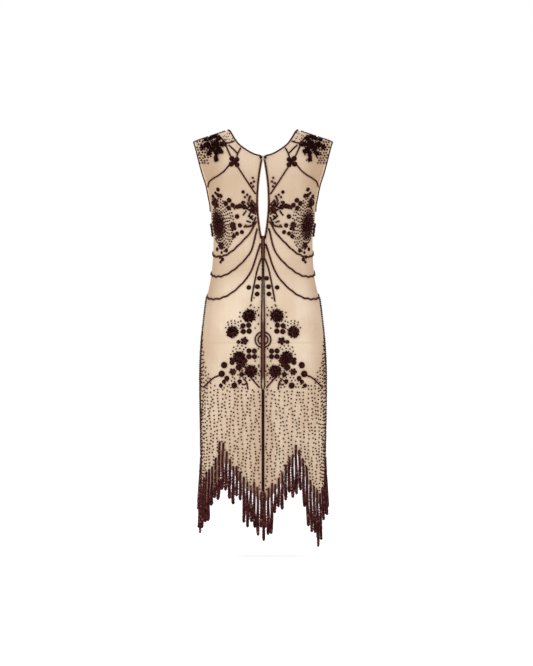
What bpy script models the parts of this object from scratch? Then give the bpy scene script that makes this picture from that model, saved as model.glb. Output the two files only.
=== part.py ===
"""A sleeveless beaded evening dress with a keyhole front and a fringed, pointed hem.

It stands hollow, as it is worn. Every piece is a separate solid: the cut panels, the corded edges,
the bead strings couched on the cloth, the raised rosettes and the strands of the fringe.
Lengths are in metres, +Z is up, and the wearer faces -Y. The origin lies between the shoulders,
halfway down the shoulder seams.
"""

import math
from collections import namedtuple

import bmesh
import bpy
import numpy as np
from mathutils import Vector

FRONT = -1
BACK = 1
LEFT = -1
RIGHT = 1
SIDE_NAMES = {LEFT: "left", RIGHT: "right"}
FACE_NAMES = {FRONT: "front", BACK: "back"}

# Driving sizes
CLOTH_THICKNESS = 0.002
SEAM_HALF_GAP = 0.00018
UNDERARM_HEIGHT = -0.205
NECK_FRONT_HEIGHT = -0.0525
KEYHOLE_TOP = -0.066
KEYHOLE_BOTTOM = -0.291
KEYHOLE_HALF_WIDTH = 0.012
BACK_NECK_BOTTOM = -0.335
BACK_NECK_CURVE = 1.6
LEVEL_ROWS_END = -0.78
HEM_BELOW_ROOTS = 0.018

# The body form that the cloth hangs on: each level is a rounded oval of these sizes
ROUNDNESS = 2.4
Level = namedtuple("Level", "height half_width front_depth back_depth")
FORM = (
    Level(0.0196, 0.0946, 0.030, 0.028),
    Level(0.0135, 0.1110, 0.040, 0.036),
    Level(-0.0035, 0.1560, 0.053, 0.048),
    Level(-0.0215, 0.1945, 0.063, 0.060),
    Level(-0.0360, 0.2005, 0.070, 0.067),
    Level(-0.0700, 0.2000, 0.083, 0.080),
    Level(-0.1036, 0.1900, 0.0945, 0.088),
    Level(-0.1370, 0.1760, 0.103, 0.093),
    Level(-0.1710, 0.1600, 0.110, 0.095),
    Level(-0.2050, 0.1470, 0.115, 0.094),
    Level(-0.2350, 0.1430, 0.117, 0.091),
    Level(-0.2880, 0.1390, 0.111, 0.083),
    Level(-0.3400, 0.1400, 0.102, 0.076),
    Level(-0.3890, 0.1440, 0.099, 0.079),
    Level(-0.4560, 0.1575, 0.100, 0.093),
    Level(-0.5120, 0.1645, 0.103, 0.108),
    Level(-0.5680, 0.1705, 0.106, 0.117),
    Level(-0.6240, 0.1740, 0.109, 0.119),
    Level(-0.6800, 0.1755, 0.111, 0.118),
    Level(-0.9000, 0.1760, 0.116, 0.116),
    Level(-1.1800, 0.1780, 0.120, 0.120),
)

# Soft flutes of the skirt, one to each point of the hem
FLUTE_DEPTH = 0.005
FLUTES_ROUND = 6
FLUTE_START = -0.60
FLUTE_FULL = -1.00

# Cut edges, as seen square on
Edge = namedtuple("Edge", "across height")
FRONT_NECK = (
    Edge(0.0946, 0.0196),
    Edge(0.0882, 0.0138),
    Edge(0.0784, -0.0030),
    Edge(0.0658, -0.0196),
    Edge(0.0434, -0.0364),
    Edge(0.0220, -0.0475),
    Edge(SEAM_HALF_GAP, NECK_FRONT_HEIGHT),
)
ARMHOLE = (
    Edge(0.1945, -0.0215),
    Edge(0.1885, -0.0380),
    Edge(0.1806, -0.0700),
    Edge(0.1710, -0.1036),
    Edge(0.1600, -0.1370),
    Edge(0.1526, -0.1710),
    Edge(0.1485, -0.1900),
    Edge(0.1470, UNDERARM_HEIGHT),
)

# The zigzag line on which the fringe is sewn, at every tenth of the way from centre to side seam
Roots = namedtuple("Roots", "front_left front_right back")
ROOT_LINE = (
    Roots(-1.008, -1.008, -1.008),
    Roots(-0.982, -0.986, -0.984),
    Roots(-0.967, -0.955, -0.955),
    Roots(-0.941, -0.918, -0.920),
    Roots(-0.904, -0.862, -0.862),
    Roots(-0.858, -0.930, -0.920),
    Roots(-0.927, -0.982, -0.972),
    Roots(-0.953, -1.014, -1.008),
    Roots(-1.003, -0.975, -0.960),
    Roots(-0.955, -0.905, -0.912),
    Roots(-0.900, -0.900, -0.900),
)
STRAND_ENDS = (
    Roots(-1.124, -1.124, -1.124),
    Roots(-1.112, -1.106, -1.110),
    Roots(-1.088, -1.056, -1.070),
    Roots(-1.034, -1.024, -1.028),
    Roots(-1.032, -0.992, -0.998),
    Roots(-0.984, -1.070, -1.050),
    Roots(-1.044, -1.124, -1.098),
    Roots(-1.080, -1.146, -1.128),
    Roots(-1.122, -1.104, -1.086),
    Roots(-1.088, -1.058, -1.064),
    Roots(-1.056, -1.056, -1.056),
)
STRANDS_A_QUARTER = 28
STRAND_WIDTH = 0.0062
STRAND_THICKNESS = 0.0055
STRAND_NECK = 0.010
STRAND_TIP = 0.004
STRAND_STAGGER = 0.018
STRIP_HEIGHT = 0.005
STRIP_LIFT = 0.0010

# How the panels are divided
COLUMNS = 10
NECK_ROWS = 7
CHEST_ROWS = 7
HEM_ROWS = 5
PATH_SAMPLES = 160

# Bead strings and edgings
LIFT = 0.0007
NECK_LIFT = 0.0012
EDGE_INSET = 0.0024
EDGE_RADIUS = 0.0019
STRING_RADIUS = 0.0022
LINE_RADIUS = 0.0018
STRING_STEP = 0.017
STRING_SIDES = 1
BAND_HALF_WIDTH = 0.0045
BAND_THICKNESS = 0.0026
BAND_TOP = -0.297
BAND_BOTTOM = -0.706
BAND_ROWS = 13
CENTRE_LINE_BOTTOM = -0.992
SIDE_LINE_TOP = -0.480
SIDE_LINE_BOTTOM = -0.878

# Each swag hangs from the keyhole, round the side, to the back neck edge
Swag = namedtuple("Swag", "start middle low side_height back_girth back_height end_girth end_height")
SWAGS = (
    Swag((0.0178, -0.237), (0.046, -0.281), (0.106, -0.332), -0.326, 1.40, -0.292, 1.775, -0.245),
    Swag((0.0160, -0.257), (0.040, -0.331), (0.108, -0.388), -0.381, 1.42, -0.345, 1.845, -0.292),
    Swag((0.0110, -0.303), (0.042, -0.391), (0.112, -0.450), -0.446, 1.42, -0.412, 1.95, -0.358),
)

# Straight and gently bent lines of beads on the front, as (across, height) points
FRONT_LINES = {
    "chest_strap": ((0.0730, -0.0830), (0.0460, -0.1230), (0.0208, -0.1600)),
    "chest_line": ((0.0950, -0.0780), (0.1160, -0.0990), (0.1400, -0.1180), (0.1530, -0.1390)),
    "neck_line": ((0.0764, -0.0548), (0.0690, -0.0410), (0.0645, -0.0330)),
    "shoulder_line": ((0.0905, -0.0525), (0.0975, -0.0370), (0.1030, -0.0240)),
    "fan_line": ((0.0088, -0.3460), (0.0200, -0.3980), (0.0330, -0.4600)),
    "centre_ring": ((0.0078, -0.5452), (0.0200, -0.5535), (0.0242, -0.5680), (0.0200, -0.5825), (0.0078, -0.5908)),
    "hip_branch": ((0.1190, -0.6670), (0.1460, -0.6830), (0.1660, -0.7020)),
}

# Raised rosettes of beads and thread on the front
Rosette = namedtuple("Rosette", "across height radius rise petals")
ROSETTES = {
    "shoulder_rosette": Rosette(0.1350, -0.0330, 0.0210, 0.0060, 7),
    "medallion": Rosette(0.0815, -0.0690, 0.0105, 0.0035, 4),
    "sunburst": Rosette(0.1215, -0.2500, 0.0290, 0.0045, 12),
    "flower_top": Rosette(0.0370, -0.5000, 0.0180, 0.0045, 9),
    "flower_side": Rosette(0.0840, -0.5460, 0.0160, 0.0040, 9),
    "flower_middle": Rosette(0.0650, -0.6180, 0.0185, 0.0045, 9),
    "flower_low": Rosette(0.0340, -0.6560, 0.0175, 0.0045, 9),
}
PETAL_DEPTH = 0.10
ROSETTE_SPOKES = 12
ROSETTE_RINGS = 4

# The two round beads that fasten the neck
BUTTON_RADIUS = 0.0030
BUTTON_ACROSS = 0.0056
BUTTON_HEIGHT = -0.0590

Look = namedtuple("Look", "colour roughness")
LOOKS = {
    "cloth": Look((0.72, 0.58, 0.43, 1.0), 0.85),
    "beads": Look((0.055, 0.012, 0.014, 1.0), 0.30),
    "fringe": Look((0.085, 0.020, 0.022, 1.0), 0.35),
}


def read_table(table, column, height):
    """A column of the form at a height, by a monotone cubic through its rows."""
    heights = np.array([row.height for row in reversed(table)])
    values = np.array([getattr(row, column) for row in reversed(table)])
    slopes = np.diff(values) / np.diff(heights)
    tangents = np.concatenate([[slopes[0]], np.zeros(len(slopes) - 1), [slopes[-1]]])
    for i in range(1, len(slopes)):
        if slopes[i - 1] * slopes[i] > 0:
            tangents[i] = 2 * slopes[i - 1] * slopes[i] / (slopes[i - 1] + slopes[i])
    height = min(max(height, heights[0]), heights[-1])
    i = min(int(np.searchsorted(heights, height, side="right")) - 1, len(slopes) - 1)
    step = heights[i + 1] - heights[i]
    t = (height - heights[i]) / step
    return float(
        (2 * t**3 - 3 * t**2 + 1) * values[i]
        + (t**3 - 2 * t**2 + t) * step * tangents[i]
        + (3 * t**2 - 2 * t**3) * values[i + 1]
        + (t**3 - t**2) * step * tangents[i + 1]
    )


def half_width(height):
    return read_table(FORM, "half_width", height)


def depth(face, height):
    return read_table(FORM, "front_depth" if face == FRONT else "back_depth", height)


def form_y(across, height, face):
    """How far the form stands from the side seam's plane, at a distance from the centre line."""
    share = min(abs(across) / half_width(height), 1.0)
    return face * depth(face, height) * (1.0 - share**ROUNDNESS) ** (1.0 / ROUNDNESS)


def form_normal(point, face):
    """The outward direction of the form, from the slope of its oval levels."""
    x, y, z = point

    def level(height):
        wide = (abs(x) / half_width(height)) ** ROUNDNESS
        return wide + (abs(y) / depth(face, height)) ** ROUNDNESS

    step = 0.0015
    power = ROUNDNESS - 1.0
    across = math.copysign(abs(x) ** power / half_width(z) ** ROUNDNESS, x) * ROUNDNESS
    out = math.copysign(abs(y) ** power / depth(face, z) ** ROUNDNESS, y) * ROUNDNESS
    up = (level(z + step) - level(z - step)) / (2 * step)
    return Vector((across, out, up)).normalized()


def flute(girth, height):
    """How far the skirt's soft flutes lift the cloth, growing towards the hem."""
    share = min(max((FLUTE_START - height) / (FLUTE_START - FLUTE_FULL), 0.0), 1.0)
    ramp = share * share * (3.0 - 2.0 * share)
    return FLUTE_DEPTH * ramp * math.cos(math.pi * FLUTES_ROUND / 2.0 * girth)


def level_oval(height, face):
    """A quarter of a level, from the centre line to the side seam, and the shares of its length."""
    turn = np.linspace(0.0, math.pi / 2, PATH_SAMPLES)
    power = 2.0 / ROUNDNESS
    x = half_width(height) * np.sin(turn) ** power
    y = depth(face, height) * np.clip(np.cos(turn), 0.0, 1.0) ** power
    length = np.concatenate([[0.0], np.cumsum(np.hypot(np.diff(x), np.diff(y)))])
    return x, y, length


def quarter_length(height, face):
    return level_oval(height, face)[2][-1]


def girth_at(across, height, face=FRONT):
    """The girth, 0 at the centre front, 1 at the side and 2 at the centre back, of a distance seen square on."""
    x, _, length = level_oval(height, face)
    share = float(np.interp(across, x, length / length[-1]))
    return share if face == FRONT else 2.0 - share


def at_girth(girth, height, side=RIGHT):
    """Point on the cloth, and its outward direction, at a girth and a height."""
    face = FRONT if girth <= 1.0 else BACK
    share = girth if girth <= 1.0 else 2.0 - girth
    x, y, length = level_oval(height, face)
    place = share * length[-1]
    point = Vector((float(np.interp(place, length, x)), face * float(np.interp(place, length, y)), height))
    normal = form_normal(point, face)
    point = point + normal * flute(girth, height)
    return mirrored(point, side), mirrored(normal, side)


def mirrored(vector, side):
    return Vector((vector.x * side, vector.y, vector.z))


def keyhole_edge(height):
    share = min(max((KEYHOLE_TOP - height) / (KEYHOLE_TOP - KEYHOLE_BOTTOM), 0.0), 1.0)
    return SEAM_HALF_GAP + KEYHOLE_HALF_WIDTH * max(math.sin(math.pi * share), 0.0) ** 0.9


def back_neck_edge(height):
    top = FRONT_NECK[0]
    share = min((top.height - height) / (top.height - BACK_NECK_BOTTOM), 1.0)
    return top.across * (1.0 - share**BACK_NECK_CURVE)


def even_points(points, count):
    """The same path, cut into equal lengths."""
    points = np.array(points, float)
    length = np.concatenate([[0.0], np.cumsum(np.linalg.norm(np.diff(points, axis=0), axis=1))])
    places = np.linspace(0.0, length[-1], count + 1)
    return np.stack([np.interp(places, length, points[:, i]) for i in range(points.shape[1])], axis=1)


def smooth_path(points, count):
    """A smooth curve through the points, cut into equal lengths."""
    points = np.array(points, float)
    ends = np.vstack([2 * points[0] - points[1], points, 2 * points[-1] - points[-2]])
    curve = []
    for a, b, c, d in zip(ends[:-3], ends[1:-2], ends[2:-1], ends[3:]):
        for t in np.linspace(0.0, 1.0, 24, endpoint=False):
            curve.append(
                0.5 * (2 * b + (c - a) * t + (2 * a - 5 * b + 4 * c - d) * t**2 + (3 * b - a - 3 * c + d) * t**3)
            )
    return even_points(curve + [points[-1]], count)


UPPER_ROWS = NECK_ROWS + CHEST_ROWS
NECK_ROW_POINTS = smooth_path(FRONT_NECK, NECK_ROWS)
LEVEL_ROWS = np.concatenate(
    [
        np.linspace(UNDERARM_HEIGHT, KEYHOLE_BOTTOM, 4)[1:],
        np.linspace(KEYHOLE_BOTTOM, BACK_NECK_BOTTOM, 3)[1:],
        np.linspace(BACK_NECK_BOTTOM, LEVEL_ROWS_END, 16)[1:],
    ]
)
ROWS = UPPER_ROWS + len(LEVEL_ROWS) + HEM_ROWS


def inner_edge(face, height):
    return keyhole_edge(height) if face == FRONT else back_neck_edge(height)


def back_neck_rows():
    """Heights that cut the upper part of the back neck edge into equal lengths."""
    top = FRONT_NECK[0].height
    heights = top + (UNDERARM_HEIGHT - top) * np.linspace(0.0, 1.0, PATH_SAMPLES) ** 2
    edge = [(back_neck_edge(z), form_y(back_neck_edge(z), z, BACK), z) for z in heights]
    return even_points(edge, UPPER_ROWS)[:, 2]


def armhole_rows(face):
    """Points that cut the armhole edge of the front or the back into equal lengths."""
    flat = smooth_path(ARMHOLE, PATH_SAMPLES)
    edge = [(x, form_y(x, z, face), z) for x, z in flat]
    return even_points(edge, UPPER_ROWS)[:, [0, 2]]


def inner_start(face, row):
    """Where an upper row starts, on the neck edge or the keyhole."""
    if face == BACK:
        height = float(BACK_NECK_ROWS[row])
        return back_neck_edge(height), height
    if row <= NECK_ROWS:
        return tuple(NECK_ROW_POINTS[row])
    height = NECK_FRONT_HEIGHT + (UNDERARM_HEIGHT - NECK_FRONT_HEIGHT) * (row - NECK_ROWS) / CHEST_ROWS
    return keyhole_edge(height), height


def upper_row(face, row):
    """Points of a row above the underarm, evenly from the inner edge to the armhole."""
    samples = []
    start = inner_start(face, row)
    end = ARMHOLE_ROWS[face][row]
    for share in np.linspace(0.0, 1.0, PATH_SAMPLES):
        height = start[1] + (end[1] - start[1]) * share
        if row == 0:
            samples.append((half_width(height), face * SEAM_HALF_GAP, height))
            continue
        turn = math.sin(share * math.pi / 2)
        height = start[1] + (end[1] - start[1]) * turn
        across = start[0] + (end[0] - start[0]) * turn
        y = form_y(across, height, face)
        samples.append((across, face * max(abs(y), SEAM_HALF_GAP), height))
    return even_points(samples, COLUMNS)


BACK_NECK_ROWS = back_neck_rows()
ARMHOLE_ROWS = {face: armhole_rows(face) for face in (FRONT, BACK)}
UPPER_GRID = {face: [upper_row(face, row) for row in range(UPPER_ROWS + 1)] for face in (FRONT, BACK)}


def table_name(face, side):
    return "back" if face == BACK else "front_" + SIDE_NAMES[side]


def along_hem(table, face, side, share):
    values = [getattr(row, table_name(face, side)) for row in table]
    return float(np.interp(share, np.linspace(0.0, 1.0, len(values)), values))


def panel_spot(face, side, column, row):
    """Point and outward direction of a panel's cloth at a column and row of its grid."""
    if row <= UPPER_ROWS:
        point = Vector(UPPER_GRID[face][row][column])
        return mirrored(point, side), mirrored(form_normal(point, face), side)
    share = column / COLUMNS
    level = row - UPPER_ROWS - 1
    if level < len(LEVEL_ROWS):
        height = float(LEVEL_ROWS[level])
    else:
        down = (level - len(LEVEL_ROWS) + 1) / HEM_ROWS
        hem = along_hem(ROOT_LINE, face, side, share) - HEM_BELOW_ROOTS
        height = LEVEL_ROWS_END + (hem - LEVEL_ROWS_END) * down
    inner = girth_at(inner_edge(face, height), height)
    if face == BACK:
        inner = 2.0 - girth_at(inner_edge(face, height), height, BACK)
    share = inner + (1.0 - inner) * share
    point, normal = at_girth(share if face == FRONT else 2.0 - share, height)
    if column == COLUMNS:
        point.y = face * SEAM_HALF_GAP
        normal.y = 0.0
        normal.normalize()
    if column == 0 and face == FRONT:
        point.x = max(point.x, SEAM_HALF_GAP)
    if column == 0 and height <= BACK_NECK_BOTTOM:
        normal.x = 0.0
        normal.normalize()
    return mirrored(point, side), mirrored(normal, side)


def new_material(name):
    look = LOOKS[name]
    material = bpy.data.materials.new(name)
    material.use_nodes = True
    shader = material.node_tree.nodes["Principled BSDF"]
    shader.inputs["Base Color"].default_value = look.colour
    shader.inputs["Roughness"].default_value = look.roughness
    material.diffuse_color = look.colour
    return material


def add_object(name, data, material, collection):
    thing = bpy.data.objects.new(name, data)
    thing.data.materials.append(material)
    collection.objects.link(thing)
    return thing


def closed_wall(places, columns, rows, outer, inner):
    """A bmesh wall between two offsets of a surface, and the grid place of each vertex.

    Each place maps a column and row to a point and its outward direction. Halves that meet are merged.
    """
    wall = bmesh.new()
    grid_place = {}
    for offset in (outer, inner):
        skin = []
        for place in places:
            made = bmesh.ops.create_grid(wall, x_segments=columns, y_segments=rows, size=1.0)
            for vertex in made["verts"]:
                column = round((vertex.co.x + 1.0) / 2.0 * columns)
                row = round((1.0 - vertex.co.y) / 2.0 * rows)
                point, normal = place(column, row)
                vertex.co = point + normal * offset
                grid_place[vertex] = (column, row, offset)
            skin += made["verts"]
        bmesh.ops.remove_doubles(wall, verts=skin, dist=0.00001)
    rim = [edge for edge in wall.edges if edge.is_boundary]
    bmesh.ops.bridge_loops(wall, edges=rim)
    bmesh.ops.recalc_face_normals(wall, faces=wall.faces)
    return wall, {vertex: place for vertex, place in grid_place.items() if vertex.is_valid}


def mesh_object(name, shape, material, collection):
    mesh = bpy.data.meshes.new(name)
    shape.to_mesh(mesh)
    shape.free()
    mesh.shade_smooth()
    mesh.set_sharp_from_angle(angle=math.radians(40))
    return add_object(name, mesh, material, collection)


def add_panel(name, face, sides, material, collection):
    """One cut panel of cloth: its outer face follows the form, and its inner face lies a wall's thickness in."""
    places = [lambda column, row, side=side: panel_spot(face, side, column, row) for side in sides]
    wall, _ = closed_wall(places, COLUMNS, ROWS, 0.0, -CLOTH_THICKNESS)
    mesh_object(name, wall, material, collection)


def strand_end(face, side, number, share):
    """The lowest point of a strand. Every second or third strand is shorter, as the beads were strung."""
    stagger = (0.0, 0.55, 0.15, 0.8, 0.3, 1.0, 0.1)[(number * 3 + side + face) % 7]
    return along_hem(STRAND_ENDS, face, side, share) + STRAND_STAGGER * stagger


def fringe_spot(face, side, share, height, across, offset):
    """A point beside a strand's middle line, given by its distance across and its offset from the cloth."""
    share = share + across / quarter_length(height, face)
    share = min(max(share, 0.0), 1.0)
    point, normal = at_girth(share if face == FRONT else 2.0 - share, height, side)
    return point + normal * offset


def add_fringe(face, side, material, collection):
    """A quarter of the fringe: a narrow strip on the cloth, and the strands fused to its lower edge."""
    outer = STRIP_LIFT + STRAND_THICKNESS
    end_gap = SEAM_HALF_GAP / quarter_length(LEVEL_ROWS_END, face) * 2

    def strip_place(column, row):
        share = min(max(column / STRANDS_A_QUARTER, end_gap), 1.0 - end_gap)
        height = along_hem(ROOT_LINE, face, side, share) - STRIP_HEIGHT * row
        return at_girth(share if face == FRONT else 2.0 - share, height, side)

    strip, places = closed_wall([strip_place], STRANDS_A_QUARTER, 1, outer, STRIP_LIFT)
    lower = [f for f in strip.faces if len(f.verts) == 4 and all(places[v][1] == 1 for v in f.verts)]
    for tip in lower:
        corners = [places[vertex] for vertex in tip.verts]
        number = min(corner[0] for corner in corners)
        share = (number + 0.5) / STRANDS_A_QUARTER
        root = along_hem(ROOT_LINE, face, side, share) - STRIP_HEIGHT
        end = strand_end(face, side, number, share)
        half = STRAND_WIDTH / 2
        rings = (
            (root - STRAND_NECK, half, STRAND_THICKNESS),
            (end + STRAND_TIP, half, STRAND_THICKNESS),
            (end, half * 0.45, STRAND_THICKNESS * 0.8),
        )
        for height, reach, thickness in rings:
            tip = bmesh.ops.extrude_discrete_faces(strip, faces=[tip])["faces"][0]
            for vertex, (column, _, offset) in zip(tip.verts, corners):
                across = reach if column > number else -reach
                out = STRIP_LIFT + (thickness if offset == outer else STRAND_THICKNESS - thickness)
                vertex.co = fringe_spot(face, side, share, height, across, out)
    bmesh.ops.recalc_face_normals(strip, faces=strip.faces)
    mesh_object(f"fringe_{FACE_NAMES[face]}_{SIDE_NAMES[side]}", strip, material, collection)


def add_string(name, points, radius, material, collection, closed=False):
    """A string of beads as a plain tube through the points."""
    curve = bpy.data.curves.new(name, "CURVE")
    curve.dimensions = "3D"
    curve.bevel_depth = radius
    curve.bevel_resolution = STRING_SIDES
    curve.use_fill_caps = not closed
    line = curve.splines.new("POLY")
    line.points.add(len(points) - 1)
    for spot, point in zip(line.points, points):
        spot.co = (*point, 1.0)
    line.use_cyclic_u = closed
    return add_object(name, curve, material, collection)


def lifted(spots, radius):
    return [point + normal * (radius + LIFT) for point, normal in spots]


def inset_edge(spots, lift, inward, closed=False):
    """The edge's own points, moved in from the cut and out from the cloth, for an edging that lies along it."""
    count = len(spots)
    moved = []
    for i, (point, normal) in enumerate(spots):
        before = spots[(i - 1) % count][0] if closed else spots[max(i - 1, 0)][0]
        after = spots[(i + 1) % count][0] if closed else spots[min(i + 1, count - 1)][0]
        sideways = normal.cross(after - before).normalized() * inward
        moved.append(point + sideways * EDGE_INSET + normal * (EDGE_RADIUS + lift))
    return moved


def shortened(path, start, end):
    """The path with a share of its first and last stretch taken off."""
    first = path[0] + (path[1] - path[0]) * start
    last = path[-1] + (path[-2] - path[-1]) * end
    return [first] + path[1:-1] + [last]


def girth_path(points, side, radius):
    """A smooth string over the cloth through (girth, height) points."""
    rough = [at_girth(girth, height)[0] for girth, height in smooth_path(points, 60)]
    length = sum((b - a).length for a, b in zip(rough, rough[1:]))
    steps = max(2, round(length / STRING_STEP))
    return lifted([at_girth(girth, height, side) for girth, height in smooth_path(points, steps)], radius)


def front_points(points):
    return [(girth_at(across, height), height) for across, height in points]


def add_swags(material, collection):
    for number, swag in enumerate(SWAGS, start=1):
        points = front_points([swag.start, swag.middle, swag.low])
        points += [(1.0, swag.side_height)]
        points += [(swag.back_girth, swag.back_height), (swag.end_girth, swag.end_height)]
        for side, word in SIDE_NAMES.items():
            add_string(f"swag_{number}_{word}", girth_path(points, side, STRING_RADIUS), STRING_RADIUS,
                       material, collection)


def add_edgings(material, collection):
    """The corded edges of the neck, keyhole, back neck and armholes."""
    keyhole_rows = range(NECK_ROWS, UPPER_ROWS + 4)
    back_rows = range(0, UPPER_ROWS + 6)
    for side, word in SIDE_NAMES.items():
        neck = [panel_spot(FRONT, side, 0, row) for row in range(NECK_ROWS + 1)]
        path = inset_edge(neck, NECK_LIFT, side)
        path[-1].x = side * (BUTTON_ACROSS - 0.001)
        add_string(f"neck_edge_{word}", shortened(path, 0.15, 0.0), EDGE_RADIUS, material, collection)
        path = inset_edge([panel_spot(FRONT, side, 0, row) for row in keyhole_rows], LIFT, side)
        add_string(f"keyhole_edge_{word}", shortened(path, 0.55, 0.25), EDGE_RADIUS, material, collection)
        ring = [panel_spot(FRONT, side, COLUMNS, row) for row in range(UPPER_ROWS + 1)]
        ring += [panel_spot(BACK, side, COLUMNS, row) for row in range(UPPER_ROWS - 1, 0, -1)]
        path = inset_edge(ring, LIFT, -side, closed=True)
        add_string(f"armhole_edge_{word}", path, EDGE_RADIUS, material, collection, closed=True)
    left = [panel_spot(BACK, LEFT, 0, row) for row in back_rows]
    right = [panel_spot(BACK, RIGHT, 0, row) for row in reversed(back_rows)]
    path = shortened(inset_edge(left + right[1:], NECK_LIFT, 1), 0.2, 0.2)
    add_string("back_neck_edge", path, EDGE_RADIUS, material, collection)


def add_lines(material, collection):
    """Lines of beads on the front, down its centre and down the side seams."""
    for name, points in FRONT_LINES.items():
        for side, word in SIDE_NAMES.items():
            path = girth_path(front_points(points), side, LINE_RADIUS)
            add_string(f"{name}_{word}", path, LINE_RADIUS, material, collection)
    for side, word in SIDE_NAMES.items():
        heights = np.linspace(SIDE_LINE_TOP, SIDE_LINE_BOTTOM, 14)
        path = lifted([at_girth(1.0, float(height), side) for height in heights], LINE_RADIUS)
        add_string(f"side_line_{word}", path, LINE_RADIUS, material, collection)
    heights = np.linspace(BAND_BOTTOM - 0.001, CENTRE_LINE_BOTTOM, 11)
    path = lifted([at_girth(0.0, float(height)) for height in heights], LINE_RADIUS)
    add_string("centre_line", path, LINE_RADIUS, material, collection)

    def band_place(column, row):
        height = BAND_TOP + (BAND_BOTTOM - BAND_TOP) * row / BAND_ROWS
        point, normal = at_girth(0.0, height)
        return point + Vector((BAND_HALF_WIDTH * (column - 1), 0.0, 0.0)), normal

    band, _ = closed_wall([band_place], 2, BAND_ROWS, LIFT + BAND_THICKNESS, LIFT)
    mesh_object("centre_band", band, material, collection)


def add_rosette(name, rosette, side, material, collection):
    """A low dome with soft petals, laid over the cloth."""
    dome = bmesh.new()
    bmesh.ops.create_uvsphere(dome, u_segments=ROSETTE_SPOKES, v_segments=ROSETTE_RINGS, radius=1.0)
    middle = girth_at(rosette.across, rosette.height)
    for vertex in dome.verts:
        flat_x, flat_z, rise = vertex.co
        petal = 1.0 + PETAL_DEPTH * math.cos(rosette.petals * math.atan2(flat_z, flat_x))
        reach = rosette.radius * petal
        height = rosette.height + flat_z * reach
        girth = middle + flat_x * reach / quarter_length(rosette.height, FRONT)
        point, normal = at_girth(girth, height, side)
        vertex.co = point + normal * (LIFT + rosette.rise * max(rise, 0.0))
    if side == LEFT:
        bmesh.ops.reverse_faces(dome, faces=dome.faces)
    mesh_object(name, dome, material, collection)


def add_buttons(material, collection):
    for side, word in SIDE_NAMES.items():
        bead = bmesh.new()
        bmesh.ops.create_uvsphere(bead, u_segments=10, v_segments=6, radius=BUTTON_RADIUS)
        point, normal = at_girth(girth_at(BUTTON_ACROSS, BUTTON_HEIGHT), BUTTON_HEIGHT, side)
        bmesh.ops.translate(bead, verts=bead.verts, vec=point + normal * (BUTTON_RADIUS + LIFT / 2))
        mesh_object(f"closure_bead_{word}", bead, material, collection)


def build_dress():
    for thing in list(bpy.data.objects):
        bpy.data.objects.remove(thing)
    collection = bpy.data.collections.new("beaded_dress")
    bpy.context.scene.collection.children.link(collection)
    cloth, beads, fringe = (new_material(name) for name in LOOKS)
    add_panel("front_left", FRONT, [LEFT], cloth, collection)
    add_panel("front_right", FRONT, [RIGHT], cloth, collection)
    add_panel("back", BACK, [LEFT, RIGHT], cloth, collection)
    for face in (FRONT, BACK):
        for side in SIDE_NAMES:
            add_fringe(face, side, fringe, collection)
    add_edgings(beads, collection)
    add_swags(beads, collection)
    add_lines(beads, collection)
    for name, rosette in ROSETTES.items():
        for side, word in SIDE_NAMES.items():
            add_rosette(f"{name}_{word}", rosette, side, beads, collection)
    add_buttons(beads, collection)


build_dress()
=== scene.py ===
# %% [markdown]
# # A beaded evening dress
#
# The dress is fine net over a matt slip, cut as two front panels and a back. Almost everything dark on it is
# a glass bead: corded edges, swags of strung beads, domed discs and flowers, a scatter that thickens towards
# the hem, and a fringe of beaded ropes. The construction model has the same pieces as plain solids.
# This script keeps their places and gives each one its real surface.

# %% Load the construction model
import math
from collections import namedtuple

import bmesh
import bpy
import numpy as np
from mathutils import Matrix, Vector


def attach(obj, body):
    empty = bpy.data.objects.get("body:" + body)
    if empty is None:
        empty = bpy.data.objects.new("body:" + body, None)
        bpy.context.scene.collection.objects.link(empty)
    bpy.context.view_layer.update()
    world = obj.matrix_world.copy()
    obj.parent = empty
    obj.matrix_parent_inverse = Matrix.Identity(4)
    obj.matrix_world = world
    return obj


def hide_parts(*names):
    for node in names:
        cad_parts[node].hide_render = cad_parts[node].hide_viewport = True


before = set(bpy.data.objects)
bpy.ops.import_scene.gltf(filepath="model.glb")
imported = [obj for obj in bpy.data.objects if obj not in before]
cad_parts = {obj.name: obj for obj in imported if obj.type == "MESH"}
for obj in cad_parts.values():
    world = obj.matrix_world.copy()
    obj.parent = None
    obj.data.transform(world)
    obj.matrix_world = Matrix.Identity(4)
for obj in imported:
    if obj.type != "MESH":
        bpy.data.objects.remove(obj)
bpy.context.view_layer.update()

random = np.random.default_rng(1926)

# %% [markdown]
# ## The form under the cloth
#
# A filled-out dress is a stack of rounded ovals, wide and shallow at the shoulders, narrow at the waist and full
# at the hip. One short table gives their sizes. Every piece of this dress lies on that form, so the whole script
# speaks of places on it by two numbers: the turn, 0 at the centre front, 1 at the side seam and 2 at the centre
# back, less than 0 on the left, and the height. Modelling by hand with a lattice would also work, but then
# the thousands of beads could not find the surface again.

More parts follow.
